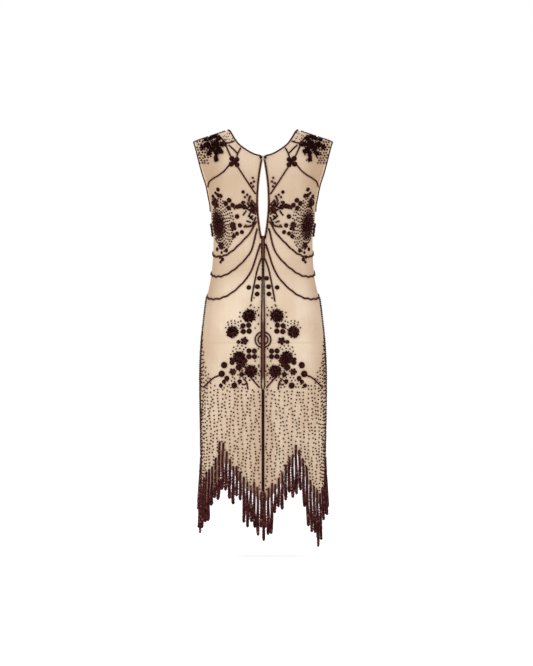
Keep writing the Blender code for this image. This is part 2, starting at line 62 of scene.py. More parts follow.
# %% Sizes of the form
LEFT, RIGHT = -1, 1
FRONT, BACK = -1, 1
SIDES = {LEFT: "left", RIGHT: "right"}
FACES = {FRONT: "front", BACK: "back"}
ROUNDNESS = 2.4
Level = namedtuple("Level", "height half_width front_depth back_depth")
FORM = (
    Level(0.0208, 0.0952, 0.030, 0.028),
    Level(0.0152, 0.1115, 0.040, 0.036),
    Level(-0.0005, 0.1565, 0.053, 0.048),
    Level(-0.0160, 0.1948, 0.062, 0.059),
    Level(-0.0360, 0.2005, 0.070, 0.067),
    Level(-0.0700, 0.2000, 0.083, 0.080),
    Level(-0.1036, 0.1900, 0.0945, 0.088),
    Level(-0.1370, 0.1760, 0.103, 0.093),
    Level(-0.1710, 0.1600, 0.110, 0.095),
    Level(-0.2050, 0.1470, 0.115, 0.094),
    Level(-0.2350, 0.1450, 0.117, 0.091),
    Level(-0.2880, 0.1390, 0.111, 0.083),
    Level(-0.3400, 0.1400, 0.102, 0.076),
    Level(-0.3890, 0.1440, 0.099, 0.079),
    Level(-0.4560, 0.1575, 0.100, 0.093),
    Level(-0.5120, 0.1645, 0.103, 0.108),
    Level(-0.5680, 0.1705, 0.106, 0.117),
    Level(-0.6240, 0.1740, 0.109, 0.119),
    Level(-0.6800, 0.1755, 0.111, 0.118),
    Level(-0.9000, 0.1760, 0.116, 0.116),
    Level(-1.1800, 0.1780, 0.120, 0.120),
)
HEIGHTS = np.linspace(-1.18, 0.0208, 1200)
SHARES = np.linspace(0.0, 1.0, 161)


def form_column(column):
    """A column of the table at every height of HEIGHTS, by a curve that never overshoots its rows."""
    rows = FORM[::-1]
    known = np.array([row.height for row in rows])
    values = np.array([getattr(row, column) for row in rows])
    slopes = np.diff(values) / np.diff(known)
    tangents = np.concatenate([[slopes[0]], np.zeros(len(slopes) - 1), [slopes[-1]]])
    same_way = slopes[:-1] * slopes[1:] > 0
    both = np.where(same_way, slopes[:-1] + slopes[1:], 1.0)
    tangents[1:-1] = np.where(same_way, 2 * slopes[:-1] * slopes[1:] / both, 0.0)
    i = np.clip(np.searchsorted(known, HEIGHTS, side="right") - 1, 0, len(slopes) - 1)
    step = known[i + 1] - known[i]
    t = (HEIGHTS - known[i]) / step
    start = (2 * t**3 - 3 * t**2 + 1) * values[i] + (t**3 - 2 * t**2 + t) * step * tangents[i]
    return start + (3 * t**2 - 2 * t**3) * values[i + 1] + (t**3 - t**2) * step * tangents[i + 1]


WIDTHS = form_column("half_width")
DEPTHS = {FRONT: form_column("front_depth"), BACK: form_column("back_depth")}


def measure_ovals(face):
    """Each level's oval, cut into even steps from the centre line to the side seam, and its length."""
    angle = np.linspace(0.0, math.pi / 2, 200)
    power = 2.0 / ROUNDNESS
    wide, deep = np.sin(angle) ** power, np.clip(np.cos(angle), 0.0, 1.0) ** power
    across, outward, lengths = [], [], []
    for width, depth in zip(WIDTHS, DEPTHS[face]):
        x, y = width * wide, depth * deep
        length = np.concatenate([[0.0], np.cumsum(np.hypot(np.diff(x), np.diff(y)))])
        across.append(np.interp(SHARES * length[-1], length, x))
        outward.append(np.interp(SHARES * length[-1], length, y))
        lengths.append(length[-1])
    return np.array(across), np.array(outward), np.array(lengths)


OVALS = {face: measure_ovals(face) for face in (FRONT, BACK)}
print("half the girth at the hip, in metres:", round(2 * float(np.interp(-0.62, HEIGHTS, OVALS[FRONT][2])), 3))

# %% [markdown]
# ## Folds
#
# Net over a slip hangs nearly smooth. It keeps six soft flutes above the points of the hem, and long shallow
# drags: from the shoulders, under the arms, at the waist where the cloth turns in, and down the skirt. Each
# is a row here, with its own place, length, lean, width and depth, because drags of one size look stamped.

# %% Flutes and drags
FLUTE_DEPTH, FLUTE_START, FLUTE_FULL = 0.005, -0.60, -1.00
Drag = namedtuple("Drag", "turn top bottom lean width depth")
DRAGS = (
    Drag(0.62, -0.045, -0.200, 0.07, 0.010, -0.0012),
    Drag(0.50, -0.070, -0.230, 0.04, 0.013, 0.0010),
    Drag(0.36, -0.090, -0.260, -0.03, 0.012, -0.0008),
    Drag(0.20, -0.080, -0.215, -0.02, 0.009, 0.0007),
    Drag(0.88, -0.215, -0.335, -0.10, 0.008, -0.0013),
    Drag(0.70, -0.300, -0.420, -0.16, 0.009, 0.0012),
    Drag(0.52, -0.320, -0.470, -0.12, 0.011, -0.0011),
    Drag(0.93, -0.330, -0.470, -0.06, 0.008, 0.0014),
    Drag(0.34, -0.340, -0.520, -0.05, 0.012, 0.0010),
    Drag(0.16, -0.330, -0.500, 0.03, 0.010, -0.0008),
    Drag(0.80, -0.400, -0.640, -0.05, 0.012, -0.0015),
    Drag(0.62, -0.460, -0.800, 0.03, 0.015, 0.0013),
    Drag(0.44, -0.560, -0.900, -0.02, 0.014, -0.0012),
    Drag(0.26, -0.640, -0.960, 0.03, 0.013, 0.0012),
    Drag(0.90, -0.600, -0.930, 0.02, 0.011, 0.0016),
    Drag(0.12, -0.700, -1.000, -0.02, 0.012, -0.0010),
    Drag(1.12, -0.230, -0.420, 0.08, 0.010, -0.0014),
    Drag(1.30, -0.090, -0.260, -0.04, 0.013, 0.0012),
    Drag(1.42, -0.260, -0.460, 0.10, 0.012, -0.0012),
    Drag(1.62, -0.330, -0.520, 0.06, 0.013, 0.0012),
    Drag(1.84, -0.360, -0.600, -0.03, 0.014, -0.0010),
    Drag(1.20, -0.440, -0.720, -0.03, 0.014, 0.0014),
    Drag(1.50, -0.520, -0.880, 0.02, 0.016, -0.0013),
    Drag(1.74, -0.600, -0.940, 0.02, 0.014, 0.0013),
    Drag(1.35, -0.680, -0.930, -0.03, 0.012, -0.0012),
)
SLIP_SEAM_HEIGHT, SEAM_RISE, SEAM_WIDTH = -0.5768, 0.0006, 0.0022
FLUTES_A_SIDE = 3
DRAG_UNEVENNESS, DRAG_OFFSET, DRAG_FADE = 0.35, 0.02, 0.8
USUAL_QUARTER = 0.235  # metres of cloth from the centre line to the side seam


def soft_step(share):
    share = np.clip(share, 0.0, 1.0)
    return share * share * (3.0 - 2.0 * share)


def relief(turn, height):
    """How far the folds lift the cloth off the form."""
    girth = np.abs(turn)
    lift = FLUTE_DEPTH * soft_step((FLUTE_START - height) / (FLUTE_START - FLUTE_FULL)) * np.cos(
        FLUTES_A_SIDE * np.pi * girth
    )
    for number, drag in enumerate(DRAGS):
        down = (drag.top - height) / (drag.top - drag.bottom)
        window = np.sin(np.pi * np.clip(down, 0.0, 1.0)) ** DRAG_FADE
        uneven = 1.0 + DRAG_UNEVENNESS * np.sign(turn) * (-1) ** number
        middle = drag.turn + drag.lean * (down - 0.5) + DRAG_OFFSET * np.sign(turn) * (-1) ** number
        away = (girth - middle) * USUAL_QUARTER / drag.width
        lift = lift + drag.depth * uneven * window * np.exp(-away * away)
    seam = (height - SLIP_SEAM_HEIGHT) / SEAM_WIDTH
    return lift + SEAM_RISE * np.exp(-seam * seam)


def table_value(table, height, share):
    """A value between the four nearest ones of a table of heights and shares."""
    row = np.clip((height - HEIGHTS[0]) / (HEIGHTS[1] - HEIGHTS[0]), 0.0, len(HEIGHTS) - 1.001)
    column = np.clip(share * (len(SHARES) - 1), 0.0, len(SHARES) - 1.001)
    i, j = row.astype(int), column.astype(int)
    a, b = row - i, column - j
    low = table[i, j] * (1 - b) + table[i, j + 1] * b
    high = table[i + 1, j] * (1 - b) + table[i + 1, j + 1] * b
    return low * (1 - a) + high * a


def cloth_spots(turn, height, lift=0.0):
    """Points on the cloth and their outward directions, as rows of x, y, z."""
    turn, height = np.broadcast_arrays(np.asarray(turn, float), np.asarray(height, float))
    turn, height = turn.ravel(), height.ravel()
    side, girth = np.where(turn < 0, -1.0, 1.0), np.abs(turn)
    is_front = girth <= 1.0
    share = np.where(is_front, girth, 2.0 - girth)
    x, y = (
        np.where(
            is_front,
            table_value(OVALS[FRONT][i], height, share),
            table_value(OVALS[BACK][i], height, share),
        )
        for i in range(2)
    )
    width = np.interp(height, HEIGHTS, WIDTHS)
    depth = np.where(
        is_front,
        np.interp(height, HEIGHTS, DEPTHS[FRONT]),
        np.interp(height, HEIGHTS, DEPTHS[BACK]),
    )
    width_slope = np.interp(height, HEIGHTS, np.gradient(WIDTHS, HEIGHTS))
    depth_slope = np.where(
        is_front,
        np.interp(height, HEIGHTS, np.gradient(DEPTHS[FRONT], HEIGHTS)),
        np.interp(height, HEIGHTS, np.gradient(DEPTHS[BACK], HEIGHTS)),
    )
    wide, deep = x / width, y / depth
    outward = np.stack(
        [
            side * wide ** (ROUNDNESS - 1) / width,
            np.where(is_front, -1.0, 1.0) * deep ** (ROUNDNESS - 1) / depth,
            -(wide**ROUNDNESS) * width_slope / width - deep**ROUNDNESS * depth_slope / depth,
        ],
        axis=1,
    )
    outward /= np.linalg.norm(outward, axis=1, keepdims=True)
    points = np.stack([side * x, np.where(is_front, -y, y), height], axis=1)
    return points + outward * (relief(turn, height) + lift)[:, None], outward


def turn_at(across, height, face=FRONT):
    """The turn of a place seen square on, at a distance across from the centre line."""
    across, height = np.broadcast_arrays(np.asarray(across, float), np.asarray(height, float))
    rows = np.clip((height.ravel() - HEIGHTS[0]) / (HEIGHTS[1] - HEIGHTS[0]), 0.0, len(HEIGHTS) - 1.001)
    table = OVALS[face][0]
    share = np.empty(len(rows))
    for i, (x, row) in enumerate(zip(np.abs(across).ravel(), rows)):
        low, part = int(row), row % 1.0
        share[i] = np.interp(x, table[low] * (1.0 - part) + table[low + 1] * part, SHARES)
    girth = share if face == FRONT else 2.0 - share
    return (np.where(across.ravel() < 0, -1.0, 1.0) * girth).reshape(across.shape)


def quarter_length(height, face=FRONT):
    return np.interp(height, HEIGHTS, OVALS[face][2])


print("drags:", 2 * len(DRAGS))

# %% [markdown]
# ## Shader maths
#
# A material in Blender is a graph of nodes. Written out node by node it is long and hard to read, so one
# small class stands for a socket of that graph and lets ordinary Python expressions build it:
# `0.4 + 0.6 * grain` adds two Math nodes. Colours and vectors go through Mix and Vector Math, because a
# Math node makes a colour grey.


# %% Sockets that can be added and multiplied
class Strand:
    """A socket of a shader graph, which Python's own operators work on."""

    def __init__(self, tree, socket=None):
        self.tree, self.socket = tree, socket

    def node(self, kind, settings=None, values=None, output=0):
        """A new node of any kind: its settings come first, then the values or links of its sockets."""
        made = self.tree.nodes.new("ShaderNode" + kind)
        for name, setting in (settings or {}).items():
            if name == "stops":
                while len(made.color_ramp.elements) < len(setting):
                    made.color_ramp.elements.new(1.0)
                for stop, (place, colour) in zip(made.color_ramp.elements, setting):
                    stop.position, stop.color = place, (*colour, 1.0)
            else:
                setattr(made, name, setting)
        for name, value in (values or {}).items():
            if isinstance(value, Strand):
                self.tree.links.new(value.socket, made.inputs[name])
            else:
                made.inputs[name].default_value = value
        return Strand(self.tree, made.outputs[output])

    def maths(self, operation, first, second=0.0):
        return self.node("Math", {"operation": operation}, {0: first, 1: second})

    def __add__(self, other):
        return self.maths("ADD", self, other)

    def __sub__(self, other):
        return self.maths("SUBTRACT", self, other)

    def __rsub__(self, other):
        return self.maths("SUBTRACT", other, self)

    def __mul__(self, other):
        return self.maths("MULTIPLY", self, other)

    __radd__, __rmul__ = __add__, __mul__

    def sine(self):
        return self.maths("SINE", self)

    def size(self):
        return self.maths("ABSOLUTE", self)

    def between(self, low, high):
        """0 at the low value, 1 at the high one, and smooth on the way."""
        values = {"Value": self, "From Min": low, "From Max": high}
        return self.node("MapRange", {"interpolation_type": "SMOOTHSTEP"}, values)

    def mixed(self, first, second):
        """The first colour where this is 0 and the second one where it is 1."""
        ends = {0: self, 6: first, 7: second}
        return self.node("Mix", {"data_type": "RGBA"}, ends, output=2)


def axes_of(vector):
    return [vector.node("SeparateXYZ", None, {0: vector}, output=i) for i in range(3)]


def new_finish(name, paint, **uniform):
    """A material: paint returns what changes over its surface, and uniform sets what doesn't."""
    material = bpy.data.materials.new(name)
    material.use_nodes = True
    tree = material.node_tree
    shader = tree.nodes["Principled BSDF"]
    for socket, value in uniform.items():
        shader.inputs[socket.replace("_", " ")].default_value = value
    for socket, value in paint(Strand(tree)).items():
        tree.links.new(value.socket, shader.inputs[socket])
    return material


# %% [markdown]
# ## Finishes
#
# The cloth is net: a fine diamond mesh over a matt slip, warmer in the thin places, with a paler doubled strip
# along each cut edge and a faint seam across the slip. Painted shade darkens the slip at some heights, at the
# centre below the band, at the sides and hips, and in streaks low on the skirt. It also glows very faintly,
# which stands for the warm light that thin cloth lets through. The beads are dark oxblood glass, no two quite
# the same, so each carries its own tone, and a few beads of the fringe take a pale painted highlight. Thread and
# braid are matt and a little redder. All patterns are worked out from places on the piece itself, and none from
# a picture.

# %% Colours
SLIP_LIGHT, SLIP_WARM = (0.65, 0.550, 0.430, 1.0), (0.56, 0.448, 0.330, 1.0)
NET_THREAD, EDGE_STRIP = (0.44, 0.31, 0.21, 1.0), (0.75, 0.60, 0.43, 1.0)
# SLIP_SHADE is the colour of the slip in painted shade.
STITCH_LINE, SLIP_SHADE = (0.36, 0.225, 0.14, 1.0), (0.38, 0.270, 0.180, 1.0)
GLASS_DARK, GLASS_RED = (0.0040, 0.0008, 0.0010, 1.0), (0.090, 0.024, 0.021, 1.0)
FRINGE_DARK, FRINGE_RED = (0.0170, 0.0028, 0.0034, 1.0), (0.125, 0.030, 0.030, 1.0)
# GLINT is a painted highlight, given to a few beads of the fringe.
GLINT = (0.24, 0.12, 0.10, 1.0)
THREAD_DARK, THREAD_RED = (0.006, 0.0018, 0.0020, 1.0), (0.020, 0.0055, 0.0050, 1.0)
BRAID_RED, BRAID_PALE = (0.190, 0.082, 0.062, 1.0), (0.50, 0.36, 0.26, 1.0)
WARM_GLOW, GLOW_STRENGTH = (0.80, 0.45, 0.28, 1.0), 0.08
# How much painted shade the slip gets at each height, from the hem up to the shoulder.
PAINTED_SHADE_BY_HEIGHT = (
    (-1.05, 0.10), (-0.96, 0.28), (-0.88, 0.36), (-0.78, 0.30), (-0.70, 0.22), (-0.62, 0.08), (-0.50, 0.02),
    (-0.43, 0.06), (-0.37, 0.40), (-0.31, 0.34), (-0.20, 0.44), (-0.11, 0.54), (-0.04, 0.28), (0.02, 0.15),
)
# Strengths of painted shade at the centre below the band, at the sides, at the hips and in the hanging streaks.
MIDDLE_SHADE, SIDE_SHADE, HIP_SHADE, HANGING_SHADE = 0.34, 0.50, 0.60, 0.22
STRIP_STRENGTH, STITCH_STRENGTH, SEAM_STRENGTH, MESH_STRENGTH = 0.7, 0.35, 0.42, 0.30
MESH_PITCH = 0.0013


# %% Net over a slip
def paint_net(start):
    place = start.node("UVMap", {"uv_map": "cloth"})
    along, up, _ = axes_of(place)
    turns = 2 * math.pi / MESH_PITCH
    one_way = ((along + up) * turns).sine().size()
    other_way = ((along - up) * turns).sine().size()
    thread = 1.0 - (one_way * other_way).between(0.02, 0.30)
    where = start.node("TexCoord", None, None, output=3)
    clouds = start.node("TexNoise", None, {"Vector": where, "Scale": 9.0, "Detail": 3.0})
    stretched = start.node("VectorMath", {"operation": "MULTIPLY"}, {0: where, 1: (70.0, 70.0, 5.0)})
    streaks = start.node("TexNoise", None, {"Vector": stretched, "Scale": 1.0, "Detail": 2.0})
    warmth = (clouds * 0.8 + streaks * 0.2).between(0.36, 0.66)
    colour = warmth.mixed(SLIP_LIGHT, SLIP_WARM)
    across, _, height = axes_of(where)
    # Painted shade by height, from the table above.
    low, high = PAINTED_SHADE_BY_HEIGHT[0][0], PAINTED_SHADE_BY_HEIGHT[-1][0]
    stops = [((level - low) / (high - low), (tone, tone, tone)) for level, tone in PAINTED_SHADE_BY_HEIGHT]
    painted_height_shade = start.node("ValToRGB", {"stops": stops}, {0: (height - low) * (1.0 / (high - low))})
    # More painted shade: at the centre below the band, at the sides, at the hips and in streaks low on the
    # skirt.
    middle = (1.0 - across.size().between(0.006, 0.050)) * height.between(-0.42, -0.56) * MIDDLE_SHADE
    sides = across.size().between(0.095, 0.150) * height.between(-0.50, -0.40) * SIDE_SHADE
    hips = across.size().between(0.110, 0.170) * height.between(-0.80, -0.62)
    hips = hips * height.between(-0.38, -0.44) * HIP_SHADE
    hanging = streaks.between(0.42, 0.66) * height.between(-0.66, -0.76) * HANGING_SHADE
    colour = (middle + sides + hips + hanging + painted_height_shade).mixed(colour, SLIP_SHADE)
    edge = start.node("Attribute", {"attribute_name": "edge"}, None, output=2)
    strip = (1.0 - edge.between(0.0070, 0.0085)) * edge.between(0.0030, 0.0040)
    colour = (strip * STRIP_STRENGTH).mixed(colour, EDGE_STRIP)
    stitches = 1.0 - (edge - 0.0090).size().between(0.0003, 0.0014)
    colour = (stitches * STITCH_STRENGTH).mixed(colour, STITCH_LINE)
    seam = 1.0 - (height - SLIP_SEAM_HEIGHT).size().between(0.0004, 0.0022)
    colour = (seam * SEAM_STRENGTH).mixed(colour, NET_THREAD)
    colour = (thread * MESH_STRENGTH).mixed(colour, NET_THREAD)
    relief_here = thread * 0.6 + streaks * 0.4
    normal = start.node("Bump", None, {"Strength": 0.35, "Distance": 0.0004, "Height": relief_here})
    return {"Base Color": colour, "Normal": normal, "Roughness": 0.92 - thread * 0.16}


NET = new_finish(
    "net_over_slip",
    paint_net,
    Specular_IOR_Level=0.0,
    Emission_Color=WARM_GLOW,
    Emission_Strength=GLOW_STRENGTH,
)


# %% Glass beads, thread and braid
def paint_glass(dark, red, glints=False):
    def paint(start):
        tone = start.node("Attribute", {"attribute_name": "tone"}, None, output=2)
        where = start.node("TexCoord", None, None, output=3)
        swirl = start.node("TexNoise", None, {"Vector": where, "Scale": 260.0, "Detail": 2.0})
        shade = tone * 0.8 + swirl.between(0.3, 0.7) * 0.2
        colour = shade.mixed(dark, red)
        if glints:
            # Painted highlight: beads whose tone is above 1.5 take the pale glint colour.
            colour = (tone.between(1.5, 1.6) * 0.8).mixed(colour, GLINT)
        return {"Base Color": colour, "Roughness": 0.30 + swirl * 0.22}

    return paint


def paint_thread(start):
    tone = start.node("Attribute", {"attribute_name": "tone"}, None, output=2)
    where = start.node("TexCoord", None, None, output=3)
    fibre = start.node("TexNoise", None, {"Vector": where, "Scale": 900.0, "Detail": 3.0})
    shade = (fibre * 0.7 + tone * 0.3).between(0.25, 0.8)
    normal = start.node("Bump", None, {"Strength": 0.5, "Distance": 0.0003, "Height": fibre})
    colour = shade.mixed(THREAD_DARK, THREAD_RED)
    return {"Base Color": colour, "Roughness": 0.7 + fibre * 0.2, "Normal": normal}


def paint_braid(start):
    where = start.node("TexCoord", None, None, output=3)
    across, _, up = axes_of(where)
    plait = ((across.size() * 1.2 + up) * 2400.0).sine() * 0.5 + 0.5
    fibre = start.node("TexNoise", None, {"Vector": where, "Scale": 700.0, "Detail": 2.0})
    open_end = 1.0 - up.between(-0.690, -0.668)
    open_top = up.between(-0.530, -0.500) * (1.0 - up.between(-0.400, -0.380))
    pale = open_end * 0.85 + open_top * 0.6
    colour = (plait * 0.4 + fibre * 0.3 + 0.3).mixed(THREAD_RED, BRAID_RED)
    normal = start.node("Bump", None, {"Strength": 0.6, "Distance": 0.0005, "Height": plait})
    return {"Base Color": pale.mixed(colour, BRAID_PALE), "Roughness": 0.65 + fibre * 0.2, "Normal": normal}


GLASS = new_finish("oxblood_glass", paint_glass(GLASS_DARK, GLASS_RED), Specular_IOR_Level=0.015)
FRINGE_GLASS = new_finish("fringe_glass", paint_glass(FRINGE_DARK, FRINGE_RED, True), Specular_IOR_Level=0.015)
THREAD = new_finish("dark_thread", paint_thread, Specular_IOR_Level=0.01)
BRAID = new_finish("braid", paint_braid, Specular_IOR_Level=0.01)
print("finishes:", [finish.name for finish in (NET, GLASS, FRINGE_GLASS, THREAD, BRAID)])

# %% [markdown]
# ## The cut panels
#
# Each front panel runs from the centre front to the side seam, round the keyhole, the neck and the armhole.
# The back is one panel with a deep V. A panel starts as an even grid. Its rows fan out from the neck and
# keyhole to the armhole, run level at the waist, and bend down to the zigzag hem, so the edges of the grid are
# the real cut edges and need no trimming. Solidify then gives the cloth its thickness.

# %% Edges of the cut
COLUMNS, NECK_ROWS, CHEST_ROWS, HEM_ROWS = 40, 26, 26, 26
UPPER_ROWS = NECK_ROWS + CHEST_ROWS
KEYHOLE_ROWS, DEEP_NECK_ROWS, SKIRT_ROWS = 14, 7, 63
KEYHOLE_END = UPPER_ROWS + KEYHOLE_ROWS + 1
BACK_NECK_END = KEYHOLE_END + DEEP_NECK_ROWS
ROWS_NEAR_EDGES, FAR_FROM_EDGES = UPPER_ROWS + 40, 0.1
UNDERARM_HEIGHT, NECK_FRONT_HEIGHT = -0.205, -0.0525
KEYHOLE_TOP, KEYHOLE_BOTTOM, KEYHOLE_HALF_WIDTH = -0.066, -0.291, 0.012
BACK_NECK_BOTTOM, BACK_NECK_CURVE = -0.335, 1.6
LEVEL_ROWS_END, HEM_BELOW_ROOTS = -0.78, 0.018
SEAM_GAP, SEAM_GAP_TURN, CLOTH_THICKNESS = 0.0002, 0.0008, 0.0013
Edge = namedtuple("Edge", "across height")
FRONT_NECK = (
    Edge(0.0952, 0.0208),
    Edge(0.0888, 0.0145),
    Edge(0.0784, -0.0030),
    Edge(0.0658, -0.0196),
    Edge(0.0434, -0.0364),
    Edge(0.0220, -0.0475),
    Edge(SEAM_GAP, NECK_FRONT_HEIGHT),
)
ARMHOLE = (
    Edge(0.1948, -0.0160),
    Edge(0.1885, -0.0380),
    Edge(0.1806, -0.0700),
    Edge(0.1710, -0.1036),
    Edge(0.1600, -0.1370),
    Edge(0.1526, -0.1710),
    Edge(0.1485, -0.1900),
    Edge(0.1470, UNDERARM_HEIGHT),
)
Roots = namedtuple("Roots", "front_left front_right back")
# Heights in even steps from the centre line to the side seam: where the fringe is sewn on, and where it ends.
ROOT_LINE = (
    Roots(-1.008, -1.008, -1.008),
    Roots(-0.982, -0.986, -0.984),
    Roots(-0.967, -0.955, -0.955),
    Roots(-0.941, -0.918, -0.920),
    Roots(-0.904, -0.862, -0.862),
    Roots(-0.858, -0.930, -0.920),
    Roots(-0.927, -0.982, -0.972),
    Roots(-0.953, -1.014, -1.008),
    Roots(-1.003, -0.975, -0.960),
    Roots(-0.955, -0.905, -0.912),
    Roots(-0.900, -0.900, -0.900),
)
STRAND_ENDS = (
    Roots(-1.124, -1.124, -1.124),
    Roots(-1.112, -1.106, -1.110),
    Roots(-1.088, -1.056, -1.070),
    Roots(-1.034, -1.024, -1.028),
    Roots(-1.032, -0.992, -0.998),
    Roots(-0.984, -1.070, -1.050),
    Roots(-1.044, -1.124, -1.098),
    Roots(-1.080, -1.146, -1.128),
    Roots(-1.122, -1.104, -1.086),
    Roots(-1.088, -1.058, -1.064),
    Roots(-1.056, -1.056, -1.056),
)


def along_hem(table, face, side, share):
    name = "back" if face == BACK else "front_" + SIDES[side]
    return np.interp(share, np.linspace(0.0, 1.0, len(table)), [getattr(row, name) for row in table])


def keyhole_edge(height):
    share = np.clip((KEYHOLE_TOP - height) / (KEYHOLE_TOP - KEYHOLE_BOTTOM), 0.0, 1.0)
    return SEAM_GAP + KEYHOLE_HALF_WIDTH * np.maximum(np.sin(np.pi * share), 0.0) ** 0.9


def back_neck_edge(height):
    top = FRONT_NECK[0]
    share = np.minimum((top.height - height) / (top.height - BACK_NECK_BOTTOM), 1.0)
    return top.across * (1.0 - share**BACK_NECK_CURVE)


def smooth_path(points, steps=24):
    """A smooth curve through the points, which need not be evenly spaced."""
    points = np.array(points, float)
    ends = np.vstack([2 * points[0] - points[1], points, 2 * points[-1] - points[-2]])
    t = np.linspace(0.0, 1.0, steps, endpoint=False)[:, None]
    curve = [
        0.5 * (2 * b + (c - a) * t + (2 * a - 5 * b + 4 * c - d) * t**2 + (3 * b - a - 3 * c + d) * t**3)
        for a, b, c, d in zip(ends[:-3], ends[1:-2], ends[2:-1], ends[3:])
    ]
    return np.vstack([*curve, points[-1:]])


def lengths_along(points):
    return np.concatenate([[0.0], np.cumsum(np.linalg.norm(np.diff(points, axis=0), axis=1))])


def even_edge(across, height, face, count):
    """An edge seen square on, cut into equal lengths over the form, as rows of turn and height."""
    turn = turn_at(across, height, face)
    length = lengths_along(cloth_spots(turn, height)[0])
    places = np.linspace(0.0, length[-1], count + 1)
    return np.stack([np.interp(places, length, turn), np.interp(places, length, height)], axis=1)


def inner_upper_edge(face):
    if face == BACK:
        top = FRONT_NECK[0].height
        heights = top + (UNDERARM_HEIGHT - top) * np.linspace(0.0, 1.0, 900) ** 2
        return even_edge(back_neck_edge(heights), heights, BACK, UPPER_ROWS)
    neck = smooth_path(FRONT_NECK, 160)
    heights = np.linspace(NECK_FRONT_HEIGHT, UNDERARM_HEIGHT, CHEST_ROWS + 1)[1:]
    keyhole = np.stack([turn_at(keyhole_edge(heights), heights), heights], axis=1)
    return np.vstack([even_edge(neck[:, 0], neck[:, 1], FRONT, NECK_ROWS), keyhole])


def outer_upper_edge(face):
    curve = smooth_path(ARMHOLE, 160)
    return even_edge(curve[:, 0], curve[:, 1], face, UPPER_ROWS)


def level_heights():
    """Rows below the underarm, closer together at the seam of the slip."""
    plain = [
        np.linspace(UNDERARM_HEIGHT, KEYHOLE_BOTTOM, KEYHOLE_ROWS + 1)[1:],
        np.linspace(KEYHOLE_BOTTOM, BACK_NECK_BOTTOM, DEEP_NECK_ROWS + 1)[1:],
        np.linspace(BACK_NECK_BOTTOM, LEVEL_ROWS_END, SKIRT_ROWS + 1)[1:],
    ]
    seam = SLIP_SEAM_HEIGHT + SEAM_WIDTH * np.array([-2.4, -1.0, 0.0, 1.0, 2.4])
    rows = np.concatenate(plain)
    rows = rows[np.abs(rows - SLIP_SEAM_HEIGHT) > 3.2 * SEAM_WIDTH]
    return np.sort(np.concatenate([rows, seam]))[::-1]


LEVEL_ROWS = level_heights()
ROWS = UPPER_ROWS + len(LEVEL_ROWS) + HEM_ROWS


def panel_places(face, side):
    """The turn and height of every point of a panel's grid, as tables of rows and columns."""
    share = np.linspace(0.0, 1.0, COLUMNS + 1)
    inner, outer = inner_upper_edge(face), outer_upper_edge(face)
    upper = inner[:, None, :] * (1.0 - share)[None, :, None] + outer[:, None, :] * share[None, :, None]
    hem = along_hem(ROOT_LINE, face, side, share) - HEM_BELOW_ROOTS
    down = np.linspace(0.0, 1.0, HEM_ROWS + 1)[1:, None]
    level = np.tile(LEVEL_ROWS[:, None], COLUMNS + 1)
    heights = np.vstack([level, LEVEL_ROWS_END + (hem - LEVEL_ROWS_END) * down])
    edge = keyhole_edge if face == FRONT else back_neck_edge
    start = turn_at(edge(heights[:, :1]), heights[:, :1], face)
    turns = start + (1.0 - start) * share
    places = np.stack([turns, heights], axis=2)
    places = np.vstack([upper, places])
    limits = (SEAM_GAP_TURN, 1.0 - SEAM_GAP_TURN) if face == FRONT else (1.0 + SEAM_GAP_TURN, 2.0)
    return np.clip(places[..., 0], *limits) * side, places[..., 1]


# %% Grids bent to the form
def distance_to(points, edge):
    """How far each point is from the nearest point of an edge."""
    return np.min(np.linalg.norm(points[:, None, :] - edge[None, :, :], axis=2), axis=1)


def add_panel_grid(panel, face, side, uv_layer, edge_layer):
    """One quarter of the dress as a grid of the panel's bmesh."""
    turns, heights = panel_places(face, side)
    points, _ = cloth_spots(turns, heights)
    table = points.reshape(ROWS + 1, COLUMNS + 1, 3)
    cut = np.vstack([table[:BACK_NECK_END, 0], table[: UPPER_ROWS + 1, -1]])
    upper = ROWS_NEAR_EDGES * (COLUMNS + 1)
    away = np.full(len(points), FAR_FROM_EDGES)
    away[:upper] = distance_to(points[:upper], cut)
    away = away.reshape(ROWS + 1, COLUMNS + 1)
    centre = turns if face == FRONT else turns - 2.0 * side
    along = centre * quarter_length(heights.ravel(), face).reshape(heights.shape)
    made = bmesh.ops.create_grid(panel, x_segments=COLUMNS, y_segments=ROWS, size=1.0)["verts"]
    grid = {}
    for vertex in made:
        column = round((vertex.co.x + 1.0) / 2.0 * COLUMNS)
        row = round((1.0 - vertex.co.y) / 2.0 * ROWS)
        grid[vertex] = (row, column)
        vertex.co = table[row, column]
        vertex[edge_layer] = away[row, column]
    faces = {quad for vertex in made for quad in vertex.link_faces}
    for quad in faces:
        for corner in quad.loops:
            place = grid[corner.vert]
            corner[uv_layer].uv = (along[place], heights[place])
    if face * side == 1:
        bmesh.ops.reverse_faces(panel, faces=list(faces))


def new_piece(name, shape, *finishes):
    """A named piece of the dress from a bmesh, smooth and with its finishes."""
    mesh = bpy.data.meshes.new(name)
    shape.to_mesh(mesh)
    shape.free()
    mesh.shade_smooth()
    return placed(name, mesh, *finishes)


def placed(name, mesh, *finishes):
    piece = bpy.data.objects.new(name, mesh)
    for finish in finishes:
        mesh.materials.append(finish)
    bpy.context.collection.objects.link(piece)
    return piece


def sewn_on(piece, slot, *nodes):
    """Attach a piece: it moves with the dress, and stands for these solids."""
    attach(piece, "root")
    if nodes:
        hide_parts(*nodes)
    return piece


